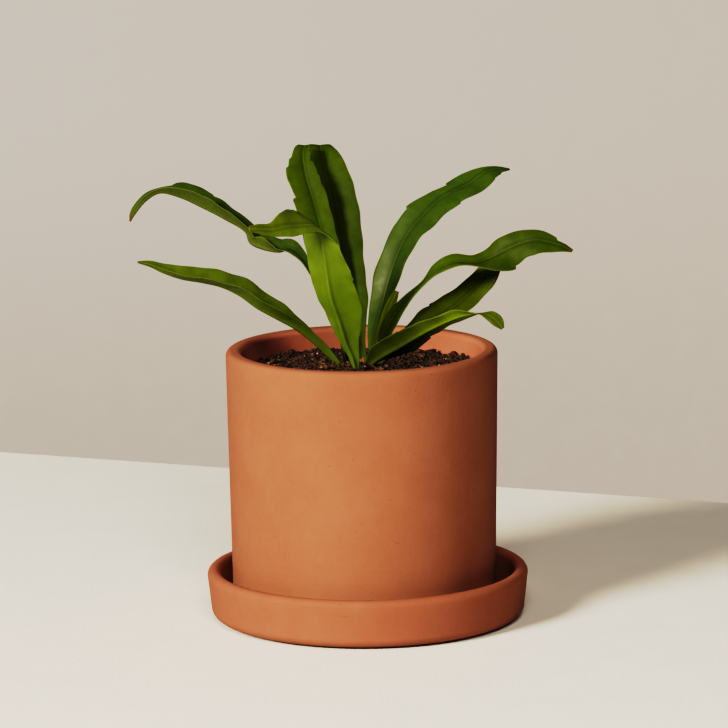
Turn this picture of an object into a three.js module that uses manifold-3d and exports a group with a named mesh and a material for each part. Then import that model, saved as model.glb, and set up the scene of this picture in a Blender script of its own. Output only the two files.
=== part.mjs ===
// A young bird's nest fern growing in a terracotta pot that stands on its terracotta saucer.
//
// Millimetres, +Z up, and +Y away from the viewer. The origin is on the saucer's underside,
// straight below the pot's axis, so the table top is the plane z = 0.
import * as THREE from 'three';
import { mergeVertices } from 'three/addons/utils/BufferGeometryUtils.js';
import Module from 'manifold-3d';

const wasm = await Module();
wasm.setup();

// Pot: a plain, slightly tapered cylinder with a rounded lip.
const POT_RADIUS_TOP = 60;
const POT_RADIUS_BOTTOM = 58.3;
const POT_HEIGHT = 115;
const POT_WALL = 7;
const POT_LIP_ROUND = 2.6;
const POT_FLOOR = 8;
const POT_EDGE_ROUND = 2;
const POT_INNER_ROUND = 4;
const DRAIN_RADIUS = 6;

// Saucer: wider than the pot by a finger's width, and a little off its axis.
const SAUCER_RADIUS_TOP = 71.2;
const SAUCER_RADIUS_BOTTOM = 69.6;
const SAUCER_HEIGHT = 22.5;
const SAUCER_WALL = 6;
const SAUCER_FLOOR = 5.5;
const SAUCER_EDGE_ROUND = 4.5;
const SAUCER_INNER_ROUND = 3;
const SAUCER_FOOT_INSET = 4;
const SAUCER_FOOT_HEIGHT = 1;
const SAUCER_OFFSET_X = 1.5;

// Neighbouring pieces stand this far apart where they touch.
const CLEARANCE = 0.3;

// Soil: the top is a low, lumpy mound some way below the rim.
const SOIL_TOP = 111;
const SOIL_MOUND = 1.6;
const SOIL_LUMP = 0.8;
const SOIL_FOOT_ROUND = 4;
const SOIL_RINGS = 13;

// Crown: the short scaly rootstock that the fronds grow from.
const CROWN_X = 0;
const CROWN_Y = 3;
const CROWN_RADIUS = 11.5;
const CROWN_BOTTOM = 96;
const CROWN_FOOT_ROUND = 4;
const CROWN_SIDES = 32;
const CROWN_SHOULDER = 110.5;
const CROWN_TOP = 113.5;
const CROWN_SCALE_ROWS = 6;
const CROWN_SCALE_RELIEF = 0.5;
const SLOT_CLEARANCE = 0.5;
const SLOT_RISE = 2;

// Fronds: leathery blades with a rib that stands out below.
const BLADE_THICKNESS = 0.7;
const RIB_RELIEF_BASE = 0.9;
const RIB_RELIEF_TIP = 0.1;
const BLADE_STEPS = 44;
const BLADE_COLUMNS = [-1, -0.52, 0, 0.52, 1];
const NICK_STEP = 0.5;
const STATION_NUMBERS = 8;
const CURVE_PARTS = 24;
// The waves of a margin grow with its blade's width, and the right margin's lag behind.
const WAVE_NO_WIDTH = 1.8;
const WAVE_WIDTH_RANGE = 6;
const WAVE_LAG = 2.1;

const ROUND_SIDES = 48;

const POT_BASE_Z = SAUCER_FLOOR + CLEARANCE;
const RIM_Z = POT_BASE_Z + POT_HEIGHT;
const TERRACOTTA = { color: 0xcd8652, roughness: 0.85, metalness: 0 };
const SHADED_TERRACOTTA = { color: 0xc67c4b, roughness: 0.87, metalness: 0 };
const SOIL = { color: 0x2b1d14, roughness: 1, metalness: 0 };
const SCALES = { color: 0x5a4326, roughness: 0.9, metalness: 0 };
const UPPER_GREEN = { color: 0x3a6410, roughness: 0.42, metalness: 0 };
const DEEP_GREEN = { color: 0x33500a, roughness: 0.45, metalness: 0 };
const FRESH_GREEN = { color: 0x6f8a08, roughness: 0.5, metalness: 0 };

// Each frond is a list of stations from its foot in the crown to its tip:
// [x, y, z, left width, right width, left tilt, right tilt].
// x, y, z is the rib. The widths run from the rib to each margin, and the tilts, in degrees,
// say how far each half is raised towards the upper face. Left and right are those of someone
// who walks up the rib on the upper face. heading is the way the frond leans out, in degrees
// counter-clockwise from +X. ripple and lobes are [depth, pitch, phase] of the waved margin.
// An eighth number slants the cross line along the rib, where the blade folds over aslant.
// nicks are small steps in the margin: [side, distance from the foot, run, depth], with side
// -1 for left and 1 for right.
const FRONDS = [
  {
    name: 'frond_front_left',
    finish: FRESH_GREEN,
    heading: -115,
    ripple: [0.2, 13, 0.6],
    lobes: [0.15, 9, 1.2],
    nicks: [[-1, 56, -6, 1.1]],
    stations: [
      [-2.6, -3, 105, 1.15, 1.15, 10, 10],
      [-2.8, -5, 111.5, 1.5, 1.5, 20, 20],
      [-3.6, -7.5, 116.5, 2.9, 3.2, 30, 30],
      [-6.5, -11, 124.5, 6, 5.8, 28, 28],
      [-10, -17, 137, 11, 8.4, 25, 25],
      [-13, -22, 147, 11.9, 10.3, 24, 24],
      [-14.5, -26, 157, 11.3, 11.2, 18, 22, 0.1],
      [-15.7, -29.2, 168, 9.4, 10.2, 5, 15, 0.35],
      [-16.8, -31.5, 176.6, 7.8, 9, -8, 8, 0.6],
      [-17.9, -33.4, 179.6, 7, 8.6, -26, 26, 0.65],
      [-19.4, -35.2, 181.2, 5, 8.4, -37, 37, 0.65],
      [-22, -37.3, 181.8, 3.9, 8.4, -45, 45, 0.5],
      [-26.5, -40.5, 182.2, 4.6, 8.2, -55, 55, 0.25],
      [-32, -44.5, 182.6, 4.8, 6.4, -65, 65, 0.1],
      [-38, -48.5, 182, 3.2, 2.9, -70, 70],
      [-43.5, -52, 182.8, 2.2, 2.1, -70, 70],
      [-47.5, -54.5, 183.2, 1.2, 1.3, -70, 70],
    ],
  },
  {
    name: 'frond_front_right',
    finish: FRESH_GREEN,
    heading: -38,
    ripple: [0.2, 14, 2.2],
    lobes: [0.15, 10, 0.4],
    nicks: [[-1, 45.2, 5, 1.2], [1, 37, 4, 0.5]],
    stations: [
      [2.2, -3.2, 105, 1.15, 1.15, 10, 10],
      [2.6, -4.6, 111.5, 1.5, 1.5, 10, 20],
      [5, -7.5, 115.5, 4, 3.8, -5, 40],
      [9, -12, 119, 6.4, 6.6, -15, 50],
      [18, -20, 125.5, 8.2, 7.4, -25, 50],
      [28, -27, 132.5, 5.6, 6.4, -25, 45],
      [37, -33, 138, 5.6, 6, -15, 32],
      [44.5, -38, 141.5, 3.8, 4.8, -25, 38],
      [51.5, -42, 143, 2, 1.8, -5, 0],
      [55.5, -44.5, 142.3, 2.8, 2.4, 35, -35],
      [58.8, -46.5, 139.9, 2.9, 2.4, 40, -40],
      [61, -48, 137.3, 0.9, 0.9, 40, -40],
    ],
  },
  {
    name: 'frond_left_low',
    finish: UPPER_GREEN,
    heading: 196,
    ripple: [0.2, 17, 1.1],
    lobes: [0.15, 12, 2],
    nicks: [],
    stations: [
      [-7, 1.2, 105, 1.15, 1.15, 10, 10],
      [-8.8, 0.8, 111.5, 1.4, 1.4, 20, 30],
      [-15.5, -2, 119.1, 2.6, 2.6, 60, 65],
      [-22.5, -5, 126.2, 3.4, 3.4, 60, 65],
      [-28.7, -8, 131.5, 4.6, 5, 47, 65],
      [-36.3, -11, 136.3, 6.4, 7.4, 36, 65],
      [-45.1, -13.5, 141.7, 7.4, 8.2, 29, 65],
      [-52.6, -16, 147.7, 7.2, 8.4, 27, 65],
      [-60.3, -18.5, 152, 6.2, 7.2, 24, 65],
      [-68.9, -21, 154.6, 5.6, 6.6, 25, 68],
      [-77.6, -23.5, 156.6, 5, 5.9, 25, 68],
      [-85.7, -25.5, 159.8, 3.4, 4.4, 30, 60],
      [-91.6, -27, 163, 2, 2.8, 30, 55],
      [-96.8, -28, 164.8, 0.8, 0.9, 30, 40],
    ],
  },
  {
    name: 'frond_left_high',
    finish: UPPER_GREEN,
    heading: 162,
    ripple: [0.15, 16, 0.2],
    lobes: [0.2, 10, 0],
    nicks: [[1, 131, 9, 0.9], [1, 113.5, -6, 0.6]],
    stations: [
      [-5.8, 5.4, 105, 1.15, 1.15, 10, 10],
      [-6.6, 5.8, 111.5, 1.4, 1.4, 20, 20],
      [-9, 6.4, 124.3, 2.4, 2.4, 15, 40],
      [-15.5, 9.5, 141.5, 3, 3, 0, 40],
      [-24.1, 13, 157, 2.2, 2.2, -20, 40],
      [-27.6, 15.5, 160.8, 3.2, 3.2, -20, 45],
      [-31.2, 18, 162.6, 4, 4.6, -10, 50],
      [-36.3, 21.5, 160.9, 4.2, 6.2, 40, 52],
      [-43.3, 25, 161.7, 5, 6.6, 75, 52],
      [-48.8, 27, 164.1, 4.2, 6.4, 75, 46],
      [-50.7, 27.8, 168.8, 3, 5.6, 60, 36],
      [-60, 30, 174.5, 5.2, 6.6, 60, 45],
      [-71, 32, 180, 6.8, 8, 60, 52],
      [-80, 33, 184, 5.6, 7.2, 60, 55],
      [-89, 33.5, 186, 2.6, 3.4, 55, 45],
      [-95.3, 34, 182.4, 2, 3.4, 60, 60],
      [-101, 34.5, 175.4, 1.6, 2.4, 70, 70],
      [-102.3, 34.6, 173, 0.7, 0.8, 60, 60],
    ],
  },
  {
    name: 'frond_back_left',
    finish: DEEP_GREEN,
    heading: 115,
    ripple: [0.15, 12, 0.9],
    lobes: [0.15, 11, 2.4],
    nicks: [
      [-1, 85.5, 8, 1.8], [-1, 98.5, 3, 1], [-1, 102, 4, 0.8],
      [1, 87.5, 3, 0.4], [1, 92.5, 3, 0.5], [1, 100, 5, 1.1],
    ],
    stations: [
      [-2.9, 8.4, 105, 1.15, 1.15, 10, 10],
      [-3.4, 8.9, 111.5, 1.5, 1.5, 20, 20],
      [-6.4, 13, 124.1, 3, 3.5, 5, 35],
      [-10.5, 17.5, 139.4, 5.8, 6, -5, 35],
      [-14.5, 21, 155.8, 8, 7, -10, 40],
      [-17.5, 23.4, 170.9, 8.8, 6.8, -10, 45],
      [-20, 25, 180.9, 8.8, 6.8, -10, 45],
      [-22.5, 27, 188.9, 8.8, 6.4, -10, 40],
      [-24.5, 30, 196.9, 8.2, 5, -10, 35],
      [-25, 33.5, 203.2, 4.8, 3.6, -8, 25],
      [-24, 37, 205.7, 2.6, 2.4, 0, 10],
      [-23.5, 41, 205.2, 1, 1, 0, 0],
    ],
  },
  {
    name: 'frond_back',
    finish: DEEP_GREEN,
    heading: 84,
    ripple: [0.12, 17, 0.3],
    lobes: [0.2, 13, 1.1],
    nicks: [],
    stations: [
      [1, 9, 105, 1.15, 1.15, 10, 10],
      [0.8, 9.8, 111.5, 1.5, 1.5, 20, 20],
      [-1.5, 16, 122.3, 4, 3.8, 25, 25],
      [-4, 22, 136.1, 8, 8, 20, 20],
      [-7, 27, 152.1, 10, 9.6, 18, 18],
      [-10, 30, 168, 11, 11.6, 16, 16],
      [-12.5, 35, 181.5, 11.4, 11.8, 16, 16],
      [-15, 40, 193.5, 10.4, 10, 14, 14],
      [-16.5, 45, 201, 8, 6.6, 10, 10],
      [-17.5, 51, 203.6, 5.6, 4.4, 6, 6],
      [-17.5, 57, 202.4, 3.4, 3, 4, 4],
      [-17.5, 62, 199.4, 0.9, 0.9, 0, 0],
    ],
  },
  {
    name: 'frond_right_high',
    finish: UPPER_GREEN,
    heading: 48,
    ripple: [0.15, 15, 1.7],
    lobes: [0.2, 16, 0.9],
    nicks: [
      [-1, 77.5, -9, 1], [-1, 97.5, -7, 0.9],
      [1, 96.3, 5, 0.8], [1, 117.5, 4, 0.6], [1, 123, 3, 0.5],
    ],
    stations: [
      [4.8, 7, 105, 1.15, 1.15, 10, 10],
      [4.8, 8.2, 111.5, 1.4, 1.3, 10, 10],
      [6.5, 13.8, 126.4, 4, 4, 22, 18],
      [10, 17.8, 137.9, 6.3, 6.2, 20, 20],
      [13, 21, 148, 8, 8, 18, 18],
      [17, 25.5, 158.5, 7.6, 8.2, 22, 12],
      [22, 30, 167.5, 7.8, 8.6, 26, 2],
      [27, 33, 173, 8.7, 8.8, 32, -8],
      [34, 37.5, 179.5, 5.8, 8.8, 35, -15],
      [40.5, 41, 183, 5.2, 9, 35, -15],
      [49, 45.5, 186.5, 6.2, 7.8, 33, -17],
      [56.5, 49.5, 191, 3.2, 7.2, 31, -19],
      [62, 52.5, 192, 2, 4, 29, -21],
      [67.5, 55, 191.5, 0.8, 0.8, 25, -25],
    ],
  },
  {
    name: 'frond_right_middle',
    finish: UPPER_GREEN,
    heading: 2,
    ripple: [0.15, 15, 0.7],
    lobes: [0.15, 11, 1.9],
    nicks: [[1, 92.8, 5, 1.4], [-1, 114.8, 4, 1]],
    stations: [
      [6, 3.8, 105, 1.15, 1.15, 10, 10],
      [6.8, 3.7, 111.5, 1.4, 1.5, 10, 10],
      [9.5, 3.2, 122.6, 3, 3.8, 35, -25],
      [13, 4.2, 131.5, 3.8, 4.4, 50, -35],
      [19, 4.5, 139.5, 3.4, 4.4, 40, -15],
      [27, 4, 148, 3.4, 4.4, 8, 0],
      [33.5, 3, 154.5, 5.2, 5.6, 25, -8],
      [41.5, 2, 158, 5.8, 6.6, 32, -7],
      [50.5, 1, 158, 5.2, 7.4, 30, 0],
      [58, 0, 160.5, 5.6, 9.8, 50, -25],
      [64, -1, 164, 6.4, 10.2, 60, -60],
      [70.5, -2, 167, 5.8, 7.6, 60, -60],
      [77.5, -3.5, 168.5, 4.8, 6.6, 60, -60],
      [85.5, -5, 167, 3, 4.4, 60, -55],
      [89.5, -5.7, 165.6, 1.6, 2.6, 55, -50],
      [93, -6.5, 164, 0.8, 0.8, 50, -50],
    ],
  },
  {
    name: 'frond_right_low',
    finish: DEEP_GREEN,
    heading: 16,
    ripple: [0.15, 14, 2.6],
    lobes: [0.2, 12, 0.5],
    nicks: [[-1, 42, -6, 0.8]],
    stations: [
      [6.6, -0.4, 105, 1.15, 1.15, 10, 10],
      [7.6, -0.8, 111.5, 1.5, 1.5, 30, 20],
      [14.5, 0.9, 119.6, 2.6, 3.6, 40, 0],
      [23, 4.6, 126.1, 5, 5.4, 45, -10],
      [31.5, 8, 131, 7.6, 6.8, 50, -20],
      [40.5, 11, 136, 7.4, 6.8, 50, -30],
      [48.5, 14, 142.5, 6, 6.8, 50, -35],
      [54.5, 17, 148, 5.6, 6.2, 50, -35],
      [58.5, 20, 153, 4.6, 4.6, 45, -35],
      [60.5, 23, 156.5, 1.4, 1.4, 45, -35],
    ],
  },
  {
    name: 'frond_young',
    finish: DEEP_GREEN,
    heading: 80,
    ripple: [0.1, 9, 0.5],
    lobes: [0.1, 8, 1],
    nicks: [],
    stations: [
      [3.6, 5, 105, 0.9, 0.9, 10, 10],
      [4, 5.4, 111.5, 0.9, 0.9, 20, 20],
      [6, 6.7, 118.3, 1.2, 1.2, 20, 20],
      [9, 8.4, 127, 2.1, 2.1, 20, 20],
      [12, 9.8, 135, 2.4, 2.4, 10, 10],
      [14.3, 10.6, 140.5, 2, 2, 10, 10],
      [15.9, 11.4, 144, 1.1, 1.1, 10, 10],
    ],
  },
];

function radians(degrees) {
  return (degrees * Math.PI) / 180;
}

function mixRows(a, b, t) {
  return a.map((value, k) => value + (b[k] - value) * t);
}

function stepLength(a, b) {
  return Math.hypot(b[0] - a[0], b[1] - a[1], b[2] - a[2]);
}

// A centripetal Catmull-Rom curve through the stations, with every column carried along.
function curveRow(stations, i, t) {
  const last = stations.length - 1;
  const before = i > 0 ? stations[i - 1] : mixRows(stations[1], stations[0], 2);
  const after = i + 2 <= last ? stations[i + 2] : mixRows(stations[last - 1], stations[last], 2);
  const [a, b, c, d] = [before, stations[i], stations[i + 1], after];
  const ab = Math.sqrt(stepLength(a, b));
  const bc = Math.sqrt(stepLength(b, c));
  const cd = Math.sqrt(stepLength(c, d));
  return b.map((value, k) => {
    const leave = ((b[k] - a[k]) / ab - (c[k] - a[k]) / (ab + bc) + (c[k] - b[k]) / bc) * bc;
    const enter = ((c[k] - b[k]) / bc - (d[k] - b[k]) / (bc + cd) + (d[k] - c[k]) / cd) * bc;
    const t2 = t * t;
    const t3 = t2 * t;
    return value * (2 * t3 - 3 * t2 + 1) + leave * (t3 - 2 * t2 + t)
      + c[k] * (3 * t2 - 2 * t3) + enter * (t3 - t2);
  });
}

// The curve's rows at even distances along the rib, each with its distance from the foot.
function evenRows(frond, steps) {
  const fine = [];
  const stations = frond.stations.map((row) => [...row, 0].slice(0, STATION_NUMBERS));
  for (let i = 0; i < stations.length - 1; i += 1) {
    for (let k = 0; k < CURVE_PARTS; k += 1) {
      fine.push(curveRow(stations, i, k / CURVE_PARTS));
    }
  }
  fine.push(stations[stations.length - 1]);
  const travel = [0];
  for (let i = 1; i < fine.length; i += 1) {
    travel.push(travel[i - 1] + stepLength(fine[i - 1], fine[i]));
  }
  const rows = [];
  let at = 0;
  for (let i = 0; i <= steps; i += 1) {
    const distance = (travel[travel.length - 1] * i) / steps;
    while (at < fine.length - 2 && travel[at + 1] < distance) {
      at += 1;
    }
    const t = (distance - travel[at]) / (travel[at + 1] - travel[at]);
    rows.push({ row: mixRows(fine[at], fine[at + 1], t), distance });
  }
  return rows;
}

// How far the nicks cut one side's margin back at a distance from the foot.
function nickDepth(frond, side, distance) {
  return frond.nicks.filter(([where]) => where === side).reduce((cut, [, place, run, depth]) => {
    const past = (distance - place) * Math.sign(run);
    const fade = THREE.MathUtils.clamp(1 - past / Math.abs(run), 0, 1);
    return cut + depth * fade * THREE.MathUtils.clamp(past / NICK_STEP + 1, 0, 1);
  }, 0);
}

// The middle surface of a blade: one row of points across the blade for each step along it.
function bladeSurface(frond, steps, columns) {
  const rows = evenRows(frond, steps);
  const heading = radians(frond.heading);
  const level = new THREE.Vector3(Math.sin(heading), -Math.cos(heading), 0);
  const rib = rows.map(({ row }) => new THREE.Vector3(row[0], row[1], row[2]));
  return rows.map(({ row, distance }, i) => {
    const along = rib[Math.min(i + 1, steps)].clone().sub(rib[Math.max(i - 1, 0)]).normalize();
    const side = level.clone().addScaledVector(along, -level.dot(along)).normalize();
    const up = new THREE.Vector3().crossVectors(side, along);
    const [leftTilt, rightTilt] = [radians(row[5]), radians(row[6])];
    const lean = (rightTilt - leftTilt) / 2;
    const lift = side.clone().multiplyScalar(-Math.sin(lean)).addScaledVector(up, Math.cos(lean));
    const spare = Math.max(row[3], row[4]) - WAVE_NO_WIDTH;
    const growth = THREE.MathUtils.clamp(spare / WAVE_WIDTH_RANGE, 0, 1);
    return columns.map((v) => {
      const tilt = v < 0 ? leftTilt : rightTilt;
      const turn = v < 0 ? 0 : WAVE_LAG;
      const [rippleDepth, ripplePitch, ripplePhase] = frond.ripple;
      const [lobeDepth, lobePitch, lobePhase] = frond.lobes;
      const lobe = lobeDepth * Math.sin((2 * Math.PI * distance) / lobePitch + lobePhase + turn);
      const cut = nickDepth(frond, v < 0 ? -1 : 1, distance);
      const width = ((v < 0 ? row[3] : row[4]) + growth * lobe - cut) * Math.abs(v);
      const wave = Math.sin((2 * Math.PI * distance) / ripplePitch + ripplePhase + turn);
      return rib[i].clone()
        .addScaledVector(side, Math.sign(v) * Math.cos(tilt) * width)
        .addScaledVector(up, Math.sin(tilt) * width)
        .addScaledVector(along, Math.sign(v) * width * row[7])
        .addScaledVector(lift, growth * rippleDepth * v * v * wave);
    });
  });
}

// A closed solid from a grid of upper points and the same grid of lower points.
function slabGeometry(upper, lower) {
  const rows = upper.length;
  const columns = upper[0].length;
  const positions = [];
  [upper, lower].forEach((grid) => {
    grid.forEach((line) => line.forEach((p) => positions.push(p.x, p.y, p.z)));
  });
  const top = (i, j) => i * columns + j;
  const bottom = (i, j) => rows * columns + i * columns + j;
  const index = [];
  const quad = (a, b, c, d) => index.push(a, b, c, a, c, d);
  for (let i = 0; i < rows - 1; i += 1) {
    for (let j = 0; j < columns - 1; j += 1) {
      quad(top(i, j), top(i, j + 1), top(i + 1, j + 1), top(i + 1, j));
      index.push(bottom(i, j), bottom(i + 1, j + 1), bottom(i, j + 1));
      index.push(bottom(i, j), bottom(i + 1, j), bottom(i + 1, j + 1));
    }
    const j = columns - 1;
    quad(top(i, 0), top(i + 1, 0), bottom(i + 1, 0), bottom(i, 0));
    quad(top(i, j), bottom(i, j), bottom(i + 1, j), top(i + 1, j));
  }
  for (let j = 0; j < columns - 1; j += 1) {
    const i = rows - 1;
    quad(top(0, j), bottom(0, j), bottom(0, j + 1), top(0, j + 1));
    quad(top(i, j), top(i, j + 1), bottom(i, j + 1), bottom(i, j));
  }
  const geometry = new THREE.BufferGeometry();
  geometry.setAttribute('position', new THREE.Float32BufferAttribute(positions, 3));
  geometry.setIndex(index);
  return geometry;
}

// The blade's two faces lie on either side of its middle surface, along the local normal.
function bladeGeometry(frond) {
  const middle = bladeSurface(frond, BLADE_STEPS, BLADE_COLUMNS);
  const lastColumn = BLADE_COLUMNS.length - 1;
  const normalAt = (i, j) => {
    const along = middle[Math.min(i + 1, BLADE_STEPS)][j].clone().sub(middle[Math.max(i - 1, 0)][j]);
    const across = middle[i][Math.min(j + 1, lastColumn)].clone().sub(middle[i][Math.max(j - 1, 0)]);
    return across.cross(along).normalize();
  };
  const half = BLADE_THICKNESS / 2;
  const upper = middle.map((line, i) => (
    line.map((p, j) => p.clone().addScaledVector(normalAt(i, j), half))
  ));
  const lower = middle.map((line, i) => line.map((p, j) => {
    const relief = THREE.MathUtils.lerp(RIB_RELIEF_BASE, RIB_RELIEF_TIP, Math.min(1, i / BLADE_STEPS));
    const rib = relief * (1 - Math.abs(BLADE_COLUMNS[j])) ** 2;
    return p.clone().addScaledVector(normalAt(i, j), -half - rib);
  }));
  return slabGeometry(upper, lower);
}

// A solid of revolution about +Z from [radius, z] points, listed counter-clockwise in section.
function turned(section, sides = ROUND_SIDES) {
  const points = section.map(([radius, z]) => new THREE.Vector2(radius, z));
  const geometry = new THREE.LatheGeometry(points, sides);
  geometry.rotateX(Math.PI / 2);
  return geometry;
}

// Points on a quarter round from one angle to another, in degrees.
function roundCorner(x, z, radius, from, to, steps) {
  return Array.from({ length: steps + 1 }, (_, k) => {
    const angle = radians(from + ((to - from) * k) / steps);
    return [x + radius * Math.cos(angle), z + radius * Math.sin(angle)];
  });
}

function toSolid(geometry) {
  const bare = geometry.clone();
  bare.deleteAttribute('normal');
  bare.deleteAttribute('uv');
  const merged = mergeVertices(bare, 1e-4);
  return new wasm.Manifold(new wasm.Mesh({
    numProp: 3,
    vertProperties: Float32Array.from(merged.attributes.position.array),
    triVerts: Uint32Array.from(merged.index.array),
  }));
}

function toGeometry(solid) {
  const { vertProperties, triVerts } = solid.getMesh();
  const geometry = new THREE.BufferGeometry();
  geometry.setAttribute('position', new THREE.BufferAttribute(vertProperties, 3));
  geometry.setIndex(new THREE.BufferAttribute(triVerts, 1));
  return geometry;
}

function piece(name, geometry, finish) {
  const mesh = new THREE.Mesh(geometry, new THREE.MeshStandardMaterial(finish));
  mesh.name = name;
  return mesh;
}

function potRadiusAt(z) {
  const t = (z - POT_BASE_Z) / POT_HEIGHT;
  return POT_RADIUS_BOTTOM + (POT_RADIUS_TOP - POT_RADIUS_BOTTOM) * t;
}

function makePot() {
  const round = POT_LIP_ROUND;
  const inner = POT_RADIUS_TOP - POT_WALL;
  const innerBottom = POT_RADIUS_BOTTOM - POT_WALL;
  const floorTop = POT_BASE_Z + POT_FLOOR;
  const section = [
    [DRAIN_RADIUS, POT_BASE_Z],
    ...roundCorner(POT_RADIUS_BOTTOM - POT_EDGE_ROUND, POT_BASE_Z + POT_EDGE_ROUND, POT_EDGE_ROUND, -90, 0, 3),
    ...roundCorner(POT_RADIUS_TOP - round, RIM_Z - round, round, 0, 90, 4),
    ...roundCorner(inner + round, RIM_Z - round, round, 90, 180, 4),
    ...roundCorner(innerBottom - POT_INNER_ROUND, floorTop + POT_INNER_ROUND, POT_INNER_ROUND, 0, -90, 3),
    [DRAIN_RADIUS, floorTop],
    [DRAIN_RADIUS, POT_BASE_Z],
  ];
  return piece('pot', turned(section), TERRACOTTA);
}

function makeSaucer() {
  const lip = SAUCER_WALL / 2;
  const floorEdge = SAUCER_RADIUS_BOTTOM - SAUCER_WALL - SAUCER_INNER_ROUND;
  const foot = SAUCER_RADIUS_BOTTOM - SAUCER_EDGE_ROUND;
  const section = [
    [0, 0],
    [foot - SAUCER_FOOT_INSET, 0],
    [foot - SAUCER_FOOT_INSET, SAUCER_FOOT_HEIGHT],
    ...roundCorner(foot, SAUCER_FOOT_HEIGHT + SAUCER_EDGE_ROUND, SAUCER_EDGE_ROUND, -90, 0, 4),
    ...roundCorner(SAUCER_RADIUS_TOP - lip, SAUCER_HEIGHT - lip, lip, 0, 180, 6),
    ...roundCorner(floorEdge, SAUCER_FLOOR + SAUCER_INNER_ROUND, SAUCER_INNER_ROUND, 0, -90, 3),
    [0, SAUCER_FLOOR],
  ];
  const saucer = piece('saucer', turned(section), SHADED_TERRACOTTA);
  saucer.position.x = SAUCER_OFFSET_X;
  return saucer;
}

// Lumps of potting mix, as a sum of a few unlike waves.
function soilHeight(x, y) {
  const spread = (x * x + y * y) / POT_RADIUS_TOP ** 2;
  const lumps = Math.sin(x * 0.71 + 1.3) * Math.cos(y * 0.63 - 0.4)
    + 0.6 * Math.sin(x * 0.33 - y * 0.47 + 2) + 0.5 * Math.cos(x * 0.21 + y * 0.86);
  return SOIL_TOP + SOIL_MOUND * (1 - spread * 2) + lumps * SOIL_LUMP;
}

// The soil fills the pot from its floor to the mound, with a well for the crown.
function makeSoil() {
  const floor = POT_BASE_Z + POT_FLOOR + CLEARANCE;
  const wall = (z) => potRadiusAt(z) - POT_WALL - CLEARANCE;
  const positions = [];
  const index = [];
  const ring = (radius, height) => {
    for (let k = 0; k < ROUND_SIDES; k += 1) {
      const angle = (2 * Math.PI * k) / ROUND_SIDES;
      const [x, y] = [radius * Math.cos(angle), radius * Math.sin(angle)];
      positions.push(x, y, height(x, y));
    }
  };
  positions.push(0, 0, floor);
  ring(wall(floor) - POT_INNER_ROUND - SOIL_FOOT_ROUND / 2, () => floor);
  ring(wall(floor) - SOIL_FOOT_ROUND / 2, () => floor + SOIL_FOOT_ROUND);
  const edge = wall(SOIL_TOP - SOIL_MOUND);
  for (let k = 0; k < SOIL_RINGS; k += 1) {
    ring(edge * (1 - k / SOIL_RINGS), soilHeight);
  }
  positions.push(0, 0, soilHeight(0, 0));
  const rings = SOIL_RINGS + 2;
  const at = (r, k) => 1 + r * ROUND_SIDES + (k % ROUND_SIDES);
  const top = 1 + rings * ROUND_SIDES;
  for (let k = 0; k < ROUND_SIDES; k += 1) {
    index.push(0, at(0, k + 1), at(0, k));
    index.push(top, at(rings - 1, k), at(rings - 1, k + 1));
    for (let r = 0; r < rings - 1; r += 1) {
      index.push(at(r, k), at(r, k + 1), at(r + 1, k + 1));
      index.push(at(r, k), at(r + 1, k + 1), at(r + 1, k));
    }
  }
  const geometry = new THREE.BufferGeometry();
  geometry.setAttribute('position', new THREE.Float32BufferAttribute(positions, 3));
  geometry.setIndex(index);
  const well = turned([
    [0, CROWN_BOTTOM - CLEARANCE],
    [CROWN_RADIUS + CLEARANCE + CROWN_SCALE_RELIEF, CROWN_BOTTOM - CLEARANCE],
    [CROWN_RADIUS + CLEARANCE + CROWN_SCALE_RELIEF, RIM_Z],
    [0, RIM_Z],
  ], CROWN_SIDES);
  well.translate(CROWN_X, CROWN_Y, 0);
  return piece('soil', toGeometry(toSolid(geometry).subtract(toSolid(well))), SOIL);
}

// The slot that a frond's stalk stands in: its own section, with clearance on every side.
function stalkSlot(frond) {
  const [leftMargin, rib, rightMargin] = [0, 1, 2];
  const middle = bladeSurface(frond, BLADE_STEPS, [-1, 0, 1]);
  const count = middle.findIndex((line) => line[rib].z > CROWN_TOP + SLOT_RISE) + 1;
  const rows = middle.slice(0, count).map((line, i) => {
    const along = middle[i + 1][rib].clone().sub(middle[Math.max(i - 1, 0)][rib]).normalize();
    const side = line[rightMargin].clone().sub(line[leftMargin]);
    side.addScaledVector(along, -side.dot(along)).normalize();
    const up = new THREE.Vector3().crossVectors(side, along);
    const from = (p) => p.clone().sub(line[rib]);
    const reach = [from(line[leftMargin]).dot(side), from(line[rightMargin]).dot(side)];
    const rise = Math.max(0, from(line[leftMargin]).dot(up), from(line[rightMargin]).dot(up));
    const top = rise + BLADE_THICKNESS / 2 + SLOT_CLEARANCE;
    const bottom = -BLADE_THICKNESS / 2 - RIB_RELIEF_BASE - SLOT_CLEARANCE;
    const start = line[rib].clone().addScaledVector(along, i === 0 ? -SLOT_CLEARANCE : 0);
    const corner = (across, height) => start.clone().addScaledVector(side, across).addScaledVector(up, height);
    const [left, right] = [reach[0] - SLOT_CLEARANCE, reach[1] + SLOT_CLEARANCE];
    return {
      upper: [corner(left, top), corner(right, top)],
      lower: [corner(left, bottom), corner(right, bottom)],
    };
  });
  return slabGeometry(rows.map((row) => row.upper), rows.map((row) => row.lower));
}

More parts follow.
